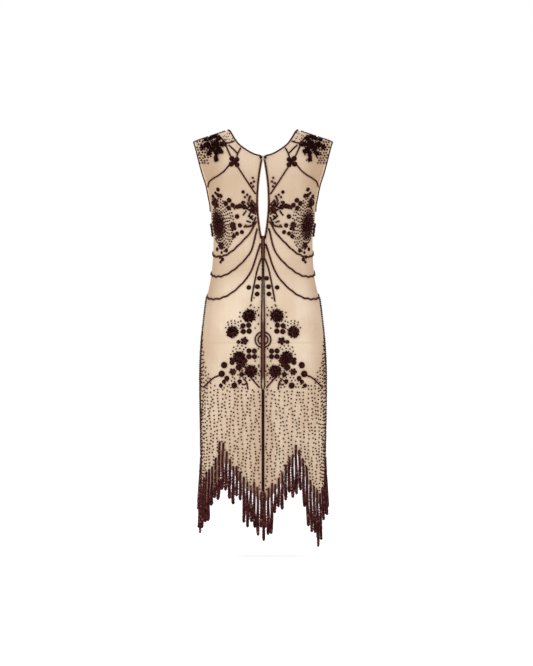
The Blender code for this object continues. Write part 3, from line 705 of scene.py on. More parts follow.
def add_panel(name, face, sides):
    panel = bmesh.new()
    uv_layer = panel.loops.layers.uv.new("cloth")
    edge_layer = panel.verts.layers.float.new("edge")
    for side in sides:
        add_panel_grid(panel, face, side, uv_layer, edge_layer)
    bmesh.ops.remove_doubles(panel, verts=panel.verts, dist=0.00002)
    area = sum(quad.calc_area() for quad in panel.faces)
    piece = sewn_on(new_piece(name + "_net", panel, NET), "cloth", name)
    thickness = piece.modifiers.new("thickness", "SOLIDIFY")
    thickness.thickness, thickness.offset = CLOTH_THICKNESS, -1.0
    print(name, "cut area in square metres:", round(area, 4))
    return piece, area


PANELS = {
    "front_left": add_panel("front_left", FRONT, (LEFT,)),
    "front_right": add_panel("front_right", FRONT, (RIGHT,)),
    "back": add_panel("back", BACK, (LEFT, RIGHT)),
}

# %% [markdown]
# ## Beads
#
# A dress like this carries many thousands of beads. As separate objects they would be slow, so each piece of
# bead work is one mesh: a single small bead is modelled, and arrays of places, sizes and directions repeat it.
# A bead is a low ball of two dozen faces, flattened along its hole, which smooth shading rounds off. The
# seeds of the fringe have fewer still. Each bead also keeps a tone of its own, from near black to oxblood.


# %% One bead, repeated
def bead_pattern(fine):
    """The points, corners and face starts of a single bead with its hole along Z."""
    ball = bmesh.new()
    if fine:
        bmesh.ops.create_uvsphere(ball, u_segments=6, v_segments=4, radius=1.0)
    else:
        bmesh.ops.create_icosphere(ball, subdivisions=1, radius=1.0)
    ball.verts.index_update()
    points = np.array([vertex.co for vertex in ball.verts])
    corners = [[vertex.index for vertex in face.verts] for face in ball.faces]
    ball.free()
    starts = np.concatenate([[0], np.cumsum([len(face) for face in corners])[:-1]])
    return points, np.concatenate(corners), starts


BEAD, SEED = bead_pattern(True), bead_pattern(False)
COLUMNS_OF_BEADS = 9


def beads_at(points, radius, directions, flat=0.8, tone=None):
    """Rows for beads: place, radius across the hole, radius along it, direction of the hole, and tone."""
    points = np.atleast_2d(points)
    count = len(points)
    rows = np.empty((count, COLUMNS_OF_BEADS))
    rows[:, :3] = points
    rows[:, 3] = radius * (1.0 + random.uniform(-0.07, 0.07, count))
    rows[:, 4] = rows[:, 3] * flat
    rows[:, 5:8] = directions
    rows[:, 8] = random.uniform(0.25, 1.0, count) if tone is None else tone
    return rows


def repeated(name, rows, pattern, finish):
    """A piece made of one bead pattern, repeated at every row."""
    ball, corners, starts = pattern
    along = rows[:, 5:8] / np.linalg.norm(rows[:, 5:8], axis=1, keepdims=True)
    helper = np.where(np.abs(along[:, 2:]) < 0.9, [[0.0, 0.0, 1.0]], [[1.0, 0.0, 0.0]])
    first = np.cross(helper, along)
    first /= np.linalg.norm(first, axis=1, keepdims=True)
    second = np.cross(along, first)
    points = (
        rows[:, None, :3]
        + ball[None, :, :1] * (first * rows[:, 3:4])[:, None, :]
        + ball[None, :, 1:2] * (second * rows[:, 3:4])[:, None, :]
        + ball[None, :, 2:] * (along * rows[:, 4:5])[:, None, :]
    )
    count, order = len(rows), np.arange(len(rows))[:, None]
    mesh = bpy.data.meshes.new(name)
    mesh.vertices.add(count * len(ball))
    mesh.vertices.foreach_set("co", points.ravel())
    mesh.loops.add(count * len(corners))
    mesh.loops.foreach_set("vertex_index", (corners[None, :] + order * len(ball)).ravel())
    mesh.polygons.add(count * len(starts))
    mesh.polygons.foreach_set("loop_start", (starts[None, :] + order * len(corners)).ravel())
    mesh.update(calc_edges=True)
    tone = mesh.attributes.new("tone", "FLOAT", "POINT")
    tone.data.foreach_set("value", np.repeat(rows[:, 8], len(ball)))
    mesh.shade_smooth()
    return placed(name, mesh, finish)


def path_on_cloth(points, side, lift):
    """A smooth path through (across, height) points seen square on, over the front."""
    curve = smooth_path(points)
    return cloth_spots(turn_at(curve[:, 0], curve[:, 1]) * side, curve[:, 1], lift)


def strung(points, outward, radius, pitch, rows=1, spread=0.0, tone=None):
    """Beads threaded along a path, in one row or in two that are staggered side by side."""
    length = lengths_along(points)
    count = max(2, round(length[-1] / pitch))
    tangent = np.gradient(points, axis=0)
    made = []
    for row in range(rows):
        places = (np.arange(count) + 0.25 + 0.5 * row) / count * length[-1]
        spots, out, on = (
            np.stack([np.interp(places, length, values[:, i]) for i in range(3)], axis=1)
            for values in (points, outward, tangent)
        )
        sideways = np.cross(out, on)
        sideways /= np.linalg.norm(sideways, axis=1, keepdims=True)
        spots = spots + sideways * spread * (2 * row - rows + 1)
        made.append(beads_at(spots, radius, on, flat=0.86 if rows == 1 else 1.0, tone=tone))
    return np.vstack(made)


CORD = dict(radius=0.0018, pitch=0.0030, rows=2, spread=0.0011)
FINE_CORD = dict(radius=0.0017, pitch=0.0029, rows=2, spread=0.0009)
counts = [len(corners) - 2 * len(starts) for _, corners, starts in (BEAD, SEED)]
print("triangles of a bead and of a seed:", counts)

# %% [markdown]
# ## Corded edges
#
# The neck, the keyhole, the deep back and the armholes are bound with strung beads, a little inside the cut.
# The binding follows the panel's own edge, so it is worked out from the same points as the panel, moved in
# from the edge and out from the cloth.


# %% Edges of neck, keyhole, back and armholes
EDGE_INSET, EDGE_LIFT = 0.0022, 0.0018


def edge_beads(places, inward, closed=False, start=0.0, end=0.0, inset=EDGE_INSET, **cord):
    """Beads along an edge given as (turn, height) rows."""
    points, outward = cloth_spots(places[:, 0], places[:, 1], EDGE_LIFT)
    onward = np.gradient(points, axis=0)
    sideways = np.cross(outward, onward)
    sideways /= np.linalg.norm(sideways, axis=1, keepdims=True)
    points = points + sideways * inset * inward
    if closed:
        points, outward = np.vstack([points, points[:1]]), np.vstack([outward, outward[:1]])
    length = lengths_along(points)
    kept = (length >= start) & (length <= length[-1] - end)
    return strung(points[kept], outward[kept], **cord)


def edge_of(face, side, column, rows):
    turns, heights = panel_places(face, side)
    return np.stack([turns[rows, column], heights[rows, column]], axis=1)


for side, word in SIDES.items():
    neck = edge_of(FRONT, side, 0, slice(0, NECK_ROWS + 1))
    rows = edge_beads(neck, side, start=0.001, end=0.005, **FINE_CORD)
    sewn_on(repeated(f"neck_beads_{word}", rows, BEAD, GLASS), "beads", f"neck_edge_{word}")
    keyhole = edge_of(FRONT, side, 0, slice(NECK_ROWS, KEYHOLE_END))
    rows = edge_beads(keyhole, side, start=0.010, end=0.001, inset=0.0042, **CORD)
    sewn_on(repeated(f"keyhole_beads_{word}", rows, BEAD, GLASS), "beads", f"keyhole_edge_{word}")
    before = edge_of(FRONT, side, -1, slice(0, UPPER_ROWS + 1))
    behind = edge_of(BACK, side, -1, slice(UPPER_ROWS - 1, 0, -1))
    ring = np.vstack([before, behind])
    rows = edge_beads(ring, -side, closed=True, radius=0.0018, pitch=0.0028)
    sewn_on(repeated(f"armhole_beads_{word}", rows, BEAD, GLASS), "beads", f"armhole_edge_{word}")
deep = slice(0, BACK_NECK_END)
back_neck = np.vstack([edge_of(BACK, LEFT, 0, deep), edge_of(BACK, RIGHT, 0, deep)[::-1]])
rows = edge_beads(back_neck, 1, start=0.001, end=0.001, **FINE_CORD)
sewn_on(repeated("back_neck_beads", rows, BEAD, GLASS), "beads", "back_neck_edge")
print("beads round the back neck:", len(rows))

# %% [markdown]
# ## Swags and lines
#
# Three swags on each side leave the keyhole, cross under the bust, rise over the side seam and end at the deep
# back. They are couched down as two staggered rows, which is why they read as a soft rope, and they waver a
# little, as string does between its stitches. Straighter lines mark the yoke, the waist and the hips in the
# same way.

# %% Swags
Swag = namedtuple("Swag", "start middle low side_height back_girth back_height end_girth end_height")
SWAGS = (
    Swag((0.0178, -0.237), (0.046, -0.281), (0.106, -0.332), -0.326, 1.40, -0.292, 1.775, -0.245),
    Swag((0.0160, -0.257), (0.040, -0.331), (0.108, -0.388), -0.381, 1.42, -0.345, 1.845, -0.292),
    Swag((0.0072, -0.299), (0.042, -0.391), (0.112, -0.450), -0.446, 1.42, -0.412, 1.95, -0.358),
)
STRING_LIFT = 0.0018
WAVE_HEIGHT, WAVES = 0.0013, 57.0


def turn_points(points):
    return [(float(turn_at(across, height)), height) for across, height in points]


for number, swag in enumerate(SWAGS, start=1):
    places = turn_points([swag.start, swag.middle, swag.low]) + [(1.0, swag.side_height)]
    places += [(swag.back_girth, swag.back_height), (swag.end_girth, swag.end_height)]
    for side, word in SIDES.items():
        curve = smooth_path(places, 40)
        wobble = WAVE_HEIGHT * np.sin(curve[:, 0] * WAVES + number + side) * np.sin(np.pi * curve[:, 0] / 2.0)
        points, outward = cloth_spots(curve[:, 0] * side, curve[:, 1] + wobble, STRING_LIFT)
        rows = strung(points, outward, **CORD)
        sewn_on(repeated(f"swag_beads_{number}_{word}", rows, BEAD, GLASS), "beads", f"swag_{number}_{word}")
print("beads in the last swag:", len(rows))

# %% Lines of beads
Line = namedtuple("Line", "node points")
FRONT_LINES = (
    Line("chest_strap", ((0.0730, -0.0810), (0.0460, -0.1230), (0.0208, -0.1610))),
    Line("chest_line", ((0.0925, -0.0770), (0.1080, -0.0960), (0.1240, -0.1085), (0.1380, -0.1160),
                        (0.1500, -0.1260), (0.1538, -0.1400))),
    Line("neck_line", ((0.0734, -0.0566), (0.0700, -0.0460), (0.0622, -0.0310))),
    Line("shoulder_line", ((0.0905, -0.0545), (0.0985, -0.0370), (0.1040, -0.0230))),
    Line("fan_line", ((0.0045, -0.3400), (0.0105, -0.3545), (0.0187, -0.3836), (0.0306, -0.4450),
                      (0.0328, -0.4610))),
    Line("hip_branch", ((0.1190, -0.6670), (0.1340, -0.6730), (0.1460, -0.6830), (0.1660, -0.7020))),
)
EXTRA_LINES = (
    ((0.0960, -0.0230), (0.0850, -0.0330), (0.0715, -0.0470)),
    ((0.0800, -0.0120), (0.0920, -0.0160), (0.1035, -0.0170), (0.1130, -0.0080), (0.1240, 0.0045)),
    ((0.0350, -0.6728), (0.0225, -0.6870), (0.0095, -0.7020)),
    ((0.0546, -0.6770), (0.0460, -0.6860), (0.0435, -0.6960), (0.0420, -0.7076)),
    ((0.0590, -0.6920), (0.0520, -0.6935), (0.0460, -0.6890)),
)
RING_HEIGHT, RING_OUTER, RING_INNER, RING_START = -0.5680, 0.0218, 0.0136, 0.0046
SideRow = namedtuple("SideRow", "turn radius lift")
SIDE_ROWS = (SideRow(1.0, 0.0031, 0.0024), SideRow(0.982, 0.0028, 0.0020), SideRow(1.018, 0.0028, 0.0020))
SIDE_LINE_TOP, SIDE_LINE_BOTTOM, SIDE_PITCH = -0.450, -0.892, 0.0052
CENTRE_LINE_TOP, CENTRE_LINE_BOTTOM, CENTRE_LINE_LIFT = -0.7065, -0.992, 0.0022
LINE_STEPS = 160


def half_ring(radius):
    reach = math.acos(RING_START / radius)
    angles = np.linspace(reach, -reach, 15)
    return [(radius * math.cos(angle), RING_HEIGHT + radius * math.sin(angle)) for angle in angles]


def fine_line(points, side):
    return strung(*path_on_cloth(points, side, STRING_LIFT), **FINE_CORD)


for side, word in SIDES.items():
    for line in FRONT_LINES:
        rows = fine_line(line.points, side)
        sewn_on(repeated(f"{line.node}_beads_{word}", rows, BEAD, GLASS), "beads", f"{line.node}_{word}")
    rows = np.vstack([fine_line(half_ring(radius), side) for radius in (RING_OUTER, RING_INNER)])
    sewn_on(repeated(f"centre_ring_beads_{word}", rows, BEAD, GLASS), "beads", f"centre_ring_{word}")
    rows = np.vstack([fine_line(points, side) for points in EXTRA_LINES])
    sewn_on(repeated(f"small_lines_{word}", rows, BEAD, GLASS), "beads")
    heights = np.linspace(SIDE_LINE_TOP, SIDE_LINE_BOTTOM, LINE_STEPS)
    rows = []
    for row in SIDE_ROWS:
        points, outward = cloth_spots(np.full(LINE_STEPS, row.turn * side), heights, row.lift)
        rows.append(strung(points, outward, radius=row.radius, pitch=SIDE_PITCH, tone=0.2))
    sewn_on(repeated(f"side_line_beads_{word}", np.vstack(rows), BEAD, GLASS), "beads", f"side_line_{word}")
heights = np.linspace(CENTRE_LINE_TOP, CENTRE_LINE_BOTTOM, LINE_STEPS)
points, outward = cloth_spots(np.zeros(LINE_STEPS), heights, CENTRE_LINE_LIFT)
rows = strung(points, outward, radius=0.0024, pitch=0.0037, rows=2, spread=0.0018, tone=0.15)
sewn_on(repeated("centre_line_beads", rows, BEAD, GLASS), "beads", "centre_line")
print("beads on the centre line:", len(rows))

# %% [markdown]
# ## The centre band
#
# A narrow braid runs down the centre front between two lines of beads, closer together at the waist than at
# the hips. It is a strip of braid, modelled as a grid and given a thickness, with the beads along its two
# sides.

# %% Braid and its two lines of beads
Reach = namedtuple("Reach", "height across")
BAND = (
    Reach(-0.2775, 0.0040), Reach(-0.2950, 0.0040), Reach(-0.3060, 0.0044), Reach(-0.3360, 0.0042),
    Reach(-0.3460, 0.0018), Reach(-0.3850, 0.0018), Reach(-0.4000, 0.0029), Reach(-0.4600, 0.0035),
    Reach(-0.5000, 0.0044), Reach(-0.5400, 0.0049), Reach(-0.6980, 0.0049), Reach(-0.7060, 0.0024),
)
BAND_TOP, BAND_BOTTOM = BAND[0].height, BAND[-1].height
BAND_LIFT, BAND_THICKNESS, BAND_ROWS = 0.0020, 0.0013, 140
BAND_CROWN, BRAID_INSET = 0.0004, 0.0006
BAND_BEAD_LIFT, BAND_BEAD_STEPS = 0.0036, 260


def band_reach(height):
    return np.interp(-height, [-reach.height for reach in BAND], [reach.across for reach in BAND])


strip = bmesh.new()
bmesh.ops.create_grid(strip, x_segments=4, y_segments=BAND_ROWS, size=1.0)
for vertex in strip.verts:
    height = BAND_TOP + (BAND_BOTTOM - BAND_TOP) * (1.0 - vertex.co.y) / 2.0
    crown = BAND_CROWN * (1.0 - vertex.co.x**2)
    across = vertex.co.x * (float(band_reach(height)) - BRAID_INSET)
    spot, _ = cloth_spots(0.0, height, BAND_LIFT + crown)
    vertex.co = (across, spot[0, 1], height)
band = sewn_on(new_piece("braid_band", strip, BRAID), "beads")
wall = band.modifiers.new("thickness", "SOLIDIFY")
wall.thickness, wall.offset = BAND_THICKNESS, -1.0
band_rows = []
for side in SIDES:
    heights = np.linspace(BAND_TOP, BAND_BOTTOM, BAND_BEAD_STEPS)
    points, outward = cloth_spots(np.zeros(BAND_BEAD_STEPS), heights, BAND_BEAD_LIFT)
    points[:, 0] = side * band_reach(heights)
    band_rows.append(strung(points, outward, radius=0.0023, pitch=0.0039, tone=0.25))
rows = np.vstack(band_rows)
sewn_on(repeated("centre_band_beads", rows, BEAD, GLASS), "beads", "centre_band")
print("beads on the centre band:", len(rows))

# %% [markdown]
# ## Discs, flowers and sprays
#
# The motifs are the ordinary ones of beaded evening wear: domed discs, round flowers of packed beads, small
# flowers of five to seven petals, a sunburst on each side of the bust, and sprays of short strings. Each is
# made by a rule from a place and a size. Packed flowers use the spiral of a sunflower head, which fills a
# round evenly. A low pad of thread under most motifs raises them, as padding does in real embroidery.


# %% Pads and packed beads
GOLDEN_TURN = math.pi * (3.0 - math.sqrt(5.0))
Motif = namedtuple("Motif", "across height radius")


def moved(motif, right, up):
    """Places beside a motif's middle, on the right half of the front, as turns and heights."""
    turn = float(turn_at(motif.across, motif.height))
    return turn + np.asarray(right) / quarter_length(motif.height), motif.height + np.asarray(up)


def clear_of_centre_lines(turn):
    return np.clip(turn, 0.004, 1.996)


def dome_ball(segments):
    """A ball of radius 1 to be bent into a pad, and its points."""
    dome = bmesh.new()
    bmesh.ops.create_uvsphere(dome, u_segments=segments, v_segments=8, radius=1.0)
    return dome, np.array([vertex.co for vertex in dome.verts])


def bend_to(dome, points):
    for vertex, point in zip(dome.verts, points):
        vertex.co = point


def pad_under(motif, side, rise, petals=0, depth=0.0):
    """A low dome of thread under a motif, as a bmesh."""
    dome, flat = dome_ball(20)
    reach = motif.radius * (1.0 + depth * np.cos(petals * np.arctan2(flat[:, 1], flat[:, 0])))
    turn, height = moved(motif, flat[:, 0] * reach, flat[:, 1] * reach)
    lift = 0.0005 + rise * np.maximum(flat[:, 2], 0.0)
    bend_to(dome, cloth_spots(clear_of_centre_lines(turn) * side, height, lift)[0])
    if side == LEFT:
        bmesh.ops.reverse_faces(dome, faces=dome.faces)
    return dome


def joined_pads(name, domes):
    """Many pads as one piece of thread."""
    whole = bmesh.new()
    for dome in domes:
        part = bpy.data.meshes.new("pad")
        dome.to_mesh(part)
        dome.free()
        whole.from_mesh(part)
        bpy.data.meshes.remove(part)
    return new_piece(name, whole, THREAD)


def laid(turn, height, lift, radius, side, tone=None, tilt=0.5):
    """Beads on the cloth with their holes turned every way."""
    turn = clear_of_centre_lines(np.asarray(turn, float))
    points, outward = cloth_spots(turn * side, height, lift)
    directions = outward + random.normal(0.0, tilt, (len(points), 3))
    return beads_at(points, radius, directions, flat=0.82, tone=tone)


def disc_beads(motif, side):
    """A domed disc: a rim, an inner round and a redder bead in the middle."""
    made, start = [], random.uniform(0.0, 1.0)
    size = motif.radius
    for reach, count, bead, lift in ((0.84, 15, 0.20, 0.28), (0.50, 9, 0.21, 0.52)):
        angle = 2 * np.pi * (np.arange(count) + start) / count
        turn, height = moved(motif, size * reach * np.cos(angle), size * reach * np.sin(angle))
        tone = random.uniform(0.1, 0.6, count)
        made.append(laid(turn, height, size * lift, size * bead, side, tone))
    turn, height = moved(motif, [0.0], [0.0])
    made.append(laid(turn, height, size * 0.58, size * 0.27, side, 0.8))
    return np.vstack(made)


def packed(motif, side, count, bead, rise, petals=0, depth=0.0):
    """A round of packed beads over a dome, with a petalled rim."""
    share = np.sqrt((np.arange(count) + 0.5) / count)
    angle = np.arange(count) * GOLDEN_TURN + random.uniform(0.0, 6.0)
    reach = motif.radius * share * (1.0 + depth * share**2 * np.cos(petals * angle))
    turn, height = moved(motif, reach * np.cos(angle), reach * np.sin(angle))
    lift = 0.0014 + rise * np.sqrt(np.maximum(1.0 - share**2, 0.0)) + random.uniform(-0.0004, 0.0008, count)
    tone = random.uniform(0.0, 0.8, count) * (np.arange(count) % 3 > 0)
    return laid(turn, height, lift, bead, side, tone)


def on_oval(reach, angle):
    """Places on an upright oval round the middle of the sunburst."""
    wide, tall = SUNBURST_OVAL
    return moved(SUNBURST, wide * reach * np.cos(angle), tall * reach * np.sin(angle))


def sunburst_rays(side, rays=36):
    """Rays of beads round a dark eye, dark within and redder at the rim, with a spread of single beads."""
    made = []
    for number, reach in enumerate(np.arange(0.0062, SUNBURST.radius, 0.0031)):
        count = min(rays if reach < 0.029 else rays - 6, max(8, round(5.4 * reach / 0.0037)))
        angle = 2 * np.pi * (np.arange(count) + 0.5 * (number % 2)) / count + random.normal(0.0, 0.04, count)
        lift = 0.0014 + 0.0030 * math.sqrt(max(1.0 - (reach / SUNBURST.radius) ** 2, 0.0))
        dark = 0.97 - 0.50 * reach / SUNBURST.radius
        tone = np.where(random.uniform(0.0, 1.0, count) < dark, 0.05, random.uniform(0.4, 1.0, count))
        place = on_oval(reach + random.normal(0.0, 0.0007, count), angle)
        made.append(laid(*place, lift, 0.0022, side, tone))
    for number, (low, high) in enumerate(((-180, 180), (-180, 180), (75, 285), (90, 270), (103, 257))):
        reach = 0.0425 + 0.0084 * number
        step = math.degrees(0.0083 / (0.87 * reach))
        angle = np.radians(np.arange(low + 0.5 * step * (number % 2), high, step))
        angle = angle + random.normal(0.0, 0.02, len(angle))
        made.append(laid(*on_oval(reach, angle), 0.0018, 0.0026, side))
    angle = np.arange(10) * GOLDEN_TURN
    reach = np.sqrt(np.arange(10))
    eye = moved(SUNBURST, 0.0009 * reach * np.cos(angle), 0.0019 * reach * np.sin(angle) - 0.003)
    made.append(laid(*eye, 0.0044, 0.0019, side, 0.0))
    steps = np.arange(len(SIDE_CLUSTER))
    made.append(laid(1.0 - 0.03 * (steps % 3), np.array(SIDE_CLUSTER), 0.0020, 0.0042, side, 0.1))
    return np.vstack(made)


def petal_flower(motif, side, petals=6, bead=0.34):
    """A small flower: a ring of round petals and a middle."""
    angle = 2 * np.pi * (np.arange(petals) + random.uniform(0.0, 1.0)) / petals
    reach = motif.radius * (1.0 - bead)
    turn, height = moved(motif, reach * np.cos(angle), reach * np.sin(angle))
    made = [laid(turn, height, motif.radius * bead * 0.7, motif.radius * bead, side, 0.1)]
    between = angle + np.pi / petals
    turn, height = moved(motif, 0.45 * motif.radius * np.cos(between), 0.45 * motif.radius * np.sin(between))
    made.append(laid(turn, height, motif.radius * bead * 0.8, motif.radius * bead * 0.85, side))
    turn, height = moved(motif, [0.0], [0.0])
    return np.vstack(made + [laid(turn, height, motif.radius * bead, motif.radius * bead, side, 0.3)])


def dots(places, radius, side):
    """Single beads at (across, height) places."""
    places = np.array(places)
    turn = turn_at(places[:, 0], places[:, 1])
    return laid(turn, places[:, 1], radius * 0.75, radius, side)


# %% Places of the motifs on the right half
DISC_SCALE = 1.07


def motifs(rows, scale=1.0):
    return [Motif(across, height, radius * scale) for across, height, radius in rows]


LARGE_FLOWERS = {
    "flower_top": Motif(0.0390, -0.5010, 0.0190),
    "flower_side": Motif(0.0848, -0.5460, 0.0170),
    "flower_middle": Motif(0.0662, -0.6180, 0.0185),
    "flower_low": Motif(0.0338, -0.6560, 0.0178),
}
DISCS = motifs((
    (0.0559, -0.5290, 0.0072), (0.0400, -0.5275, 0.0072), (0.0548, -0.5450, 0.0072), (0.0386, -0.5440, 0.0072),
    (0.0392, -0.5990, 0.0070), (0.0238, -0.5995, 0.0070), (0.0388, -0.6150, 0.0072), (0.0236, -0.6150, 0.0070),
    (0.0675, -0.6448, 0.0084), (0.0860, -0.6311, 0.0072), (0.1081, -0.6390, 0.0088), (0.1148, -0.6633, 0.0090),
    (0.1010, -0.6760, 0.0070), (0.1089, -0.6854, 0.0058), (0.1173, -0.6958, 0.0056), (0.0801, -0.6958, 0.0082),
    (0.0645, -0.6846, 0.0062), (0.0595, -0.6647, 0.0068),
    (0.0104, -0.3960, 0.0062), (0.0395, -0.4217, 0.0062), (0.0157, -0.4197, 0.0066), (0.0165, -0.4400, 0.0065),
    (0.1253, -0.1478, 0.0056), (0.1324, -0.1574, 0.0042), (0.1393, -0.1665, 0.0050), (0.1249, -0.1637, 0.0058),
    (0.1172, -0.1655, 0.0060), (0.0940, -0.1782, 0.0066), (0.1035, -0.1866, 0.0068), (0.0846, -0.1918, 0.0066),
    (0.0950, -0.1999, 0.0064), (0.0560, -0.1850, 0.0050), (0.0716, -0.1963, 0.0064), (0.0520, -0.1972, 0.0070),
    (0.0640, -0.1945, 0.0070), (0.0554, -0.1554, 0.0048), (0.0722, -0.2237, 0.0064), (0.0643, -0.2484, 0.0061),
    (0.0774, -0.2574, 0.0040), (0.0855, -0.2605, 0.0040), (0.0586, -0.2671, 0.0058), (0.0722, -0.2711, 0.0056),
    (0.0812, -0.2784, 0.0058), (0.1273, -0.3143, 0.0054), (0.1023, -0.3184, 0.0054), (0.1154, -0.3240, 0.0040),
    (0.1195, -0.3364, 0.0050), (0.1126, -0.3433, 0.0054), (0.1181, -0.3503, 0.0042), (0.1333, -0.1745, 0.0044),
), DISC_SCALE)
MEDALLION_DISCS = motifs((
    (0.0732, -0.0640, 0.0072), (0.0872, -0.0610, 0.0072), (0.0803, -0.0712, 0.0066), (0.0726, -0.0788, 0.0072),
    (0.0886, -0.0768, 0.0074),
))
SMALL_FLOWERS = motifs((
    (0.0517, -0.5714, 0.0125), (0.0683, -0.5742, 0.0066), (0.0835, -0.2480, 0.0100), (0.1167, -0.3040, 0.0112),
    (0.0505, -0.6270, 0.0086), (0.0560, -0.6385, 0.0078), (0.0849, -0.6572, 0.0110), (0.0891, -0.6215, 0.0054),
))
LOOSE_BEADS = (
    (0.0436, -0.1634), (0.0358, -0.1686), (0.0501, -0.1699), (0.0384, -0.1738), (0.0397, -0.1790),
    (0.0306, -0.1816), (0.0345, -0.1855), (0.0423, -0.1868), (0.0195, -0.2040), (0.0215, -0.2085),
    (0.0185, -0.1900), (0.0520, -0.1840), (0.0790, -0.2010), (0.0480, -0.2490),
)
SIDE_CLUSTER = (-0.2440, -0.2500, -0.2560, -0.2600, -0.2650, -0.2710, -0.2750)
LEAF_CLUSTER = Motif(0.1335, -0.1860, 0.0130)
SUNBURST, SUNBURST_OVAL = Motif(0.1240, -0.2470, 0.0385), (0.72, 1.0)
SHOULDER = motifs((
    (0.1345, 0.0005, 0.0105), (0.1235, -0.0060, 0.0085), (0.1470, -0.0050, 0.0090), (0.1334, -0.0200, 0.0160),
    (0.1550, -0.0215, 0.0115), (0.1685, -0.0285, 0.0085), (0.1150, -0.0205, 0.0085), (0.1165, -0.0420, 0.0075),
    (0.1305, -0.0450, 0.0085), (0.1500, -0.0465, 0.0090), (0.1300, -0.0640, 0.0075), (0.1070, -0.0230, 0.0050),
    (0.1430, -0.0340, 0.0105), (0.1605, -0.0090, 0.0070), (0.1310, -0.0550, 0.0055), (0.1250, -0.0330, 0.0090),
))
SHOULDER_BEND = 0.055
# Beads beside the shoulder rosette: by the armhole, at the shoulder tip, towards the armhole and by the neck.
SEAM_TURN, SEAM_HEIGHTS = 0.990, np.linspace(-0.0145, 0.0010, 30)
TIP_TURN, TIP_HEIGHTS = 0.986, np.linspace(0.0030, 0.0165, 9)
ARMHOLE_GRID = [
    (0.1530 + 0.0078 * i + 0.0035 * (j % 2), -0.0140 - 0.0074 * j) for i in range(5) for j in range(9)
]
NECK_GRID = [
    (0.0940 + 0.0066 * i - 0.0036 * j, 0.0110 - 0.0030 * i - 0.0066 * j) for i in range(4) for j in range(4)
]


def shoulder_spots(motif, side, right, up, lift):
    """Places on the plane that touches the shoulder at a motif, bent back a little as the shoulder is."""
    spot, outward = cloth_spots(turn_at(motif.across, motif.height) * side, motif.height)
    first = np.cross(outward[0], [0.0, 1.0, 0.0])
    first /= np.linalg.norm(first)
    second = np.cross(first, outward[0])
    fall = (right**2 + up**2) / (2 * SHOULDER_BEND)
    points = spot + np.outer(right, first) + np.outer(up, second) + np.outer(lift - fall, outward[0])
    return points, np.repeat(outward, len(points), axis=0)


def shoulder_flower(motif, side, petals):
    """A flower of the shoulder spray: packed beads over a domed pad."""
    count = max(12, round(40 * (motif.radius / 0.0155) ** 2))
    share = np.sqrt((np.arange(count) + 0.5) / count)
    angle = np.arange(count) * GOLDEN_TURN + random.uniform(0.0, 6.0)
    reach = 0.94 * motif.radius * share * (1.0 + 0.34 * share**2 * np.cos(petals * angle))
    lift = 0.0018 + 0.0034 * np.sqrt(np.maximum(1.0 - share**2, 0.0)) + random.uniform(-0.0006, 0.0010, count)
    points, outward = shoulder_spots(motif, side, reach * np.cos(angle), reach * np.sin(angle), lift)
    tone = np.where(random.uniform(0.0, 1.0, count) < 0.93, 0.0, random.uniform(0.3, 0.8, count))
    return beads_at(points, 0.0026, outward + random.normal(0.0, 0.5, outward.shape), flat=0.82, tone=tone)


def shoulder_pad(motif, side):
    dome, flat = dome_ball(16)
    reach = motif.radius * 0.74
    lift = 0.0004 + 0.0026 * np.maximum(flat[:, 2], 0.0)
    bend_to(dome, shoulder_spots(motif, side, flat[:, 0] * reach, flat[:, 1] * reach, lift)[0])
    bmesh.ops.recalc_face_normals(dome, faces=dome.faces)
    return dome


def beside_rosette(across, height):
    """Whether a place lies between the shoulder rosette and the armhole."""
    return (0.163 if height > -0.035 else 0.152) < across < 0.190 + height * 0.16


def clear_of_neck(across, height):
    """Whether a place lies far enough from the neck edge for a bead."""
    return across > 0.0835 + 0.45 * max(height, -0.01) + 0.0035


def shifted(places, amount):
    """Places moved a little at random, as by hand."""
    return np.array(places) + random.normal(0.0, amount, (len(places), 2))


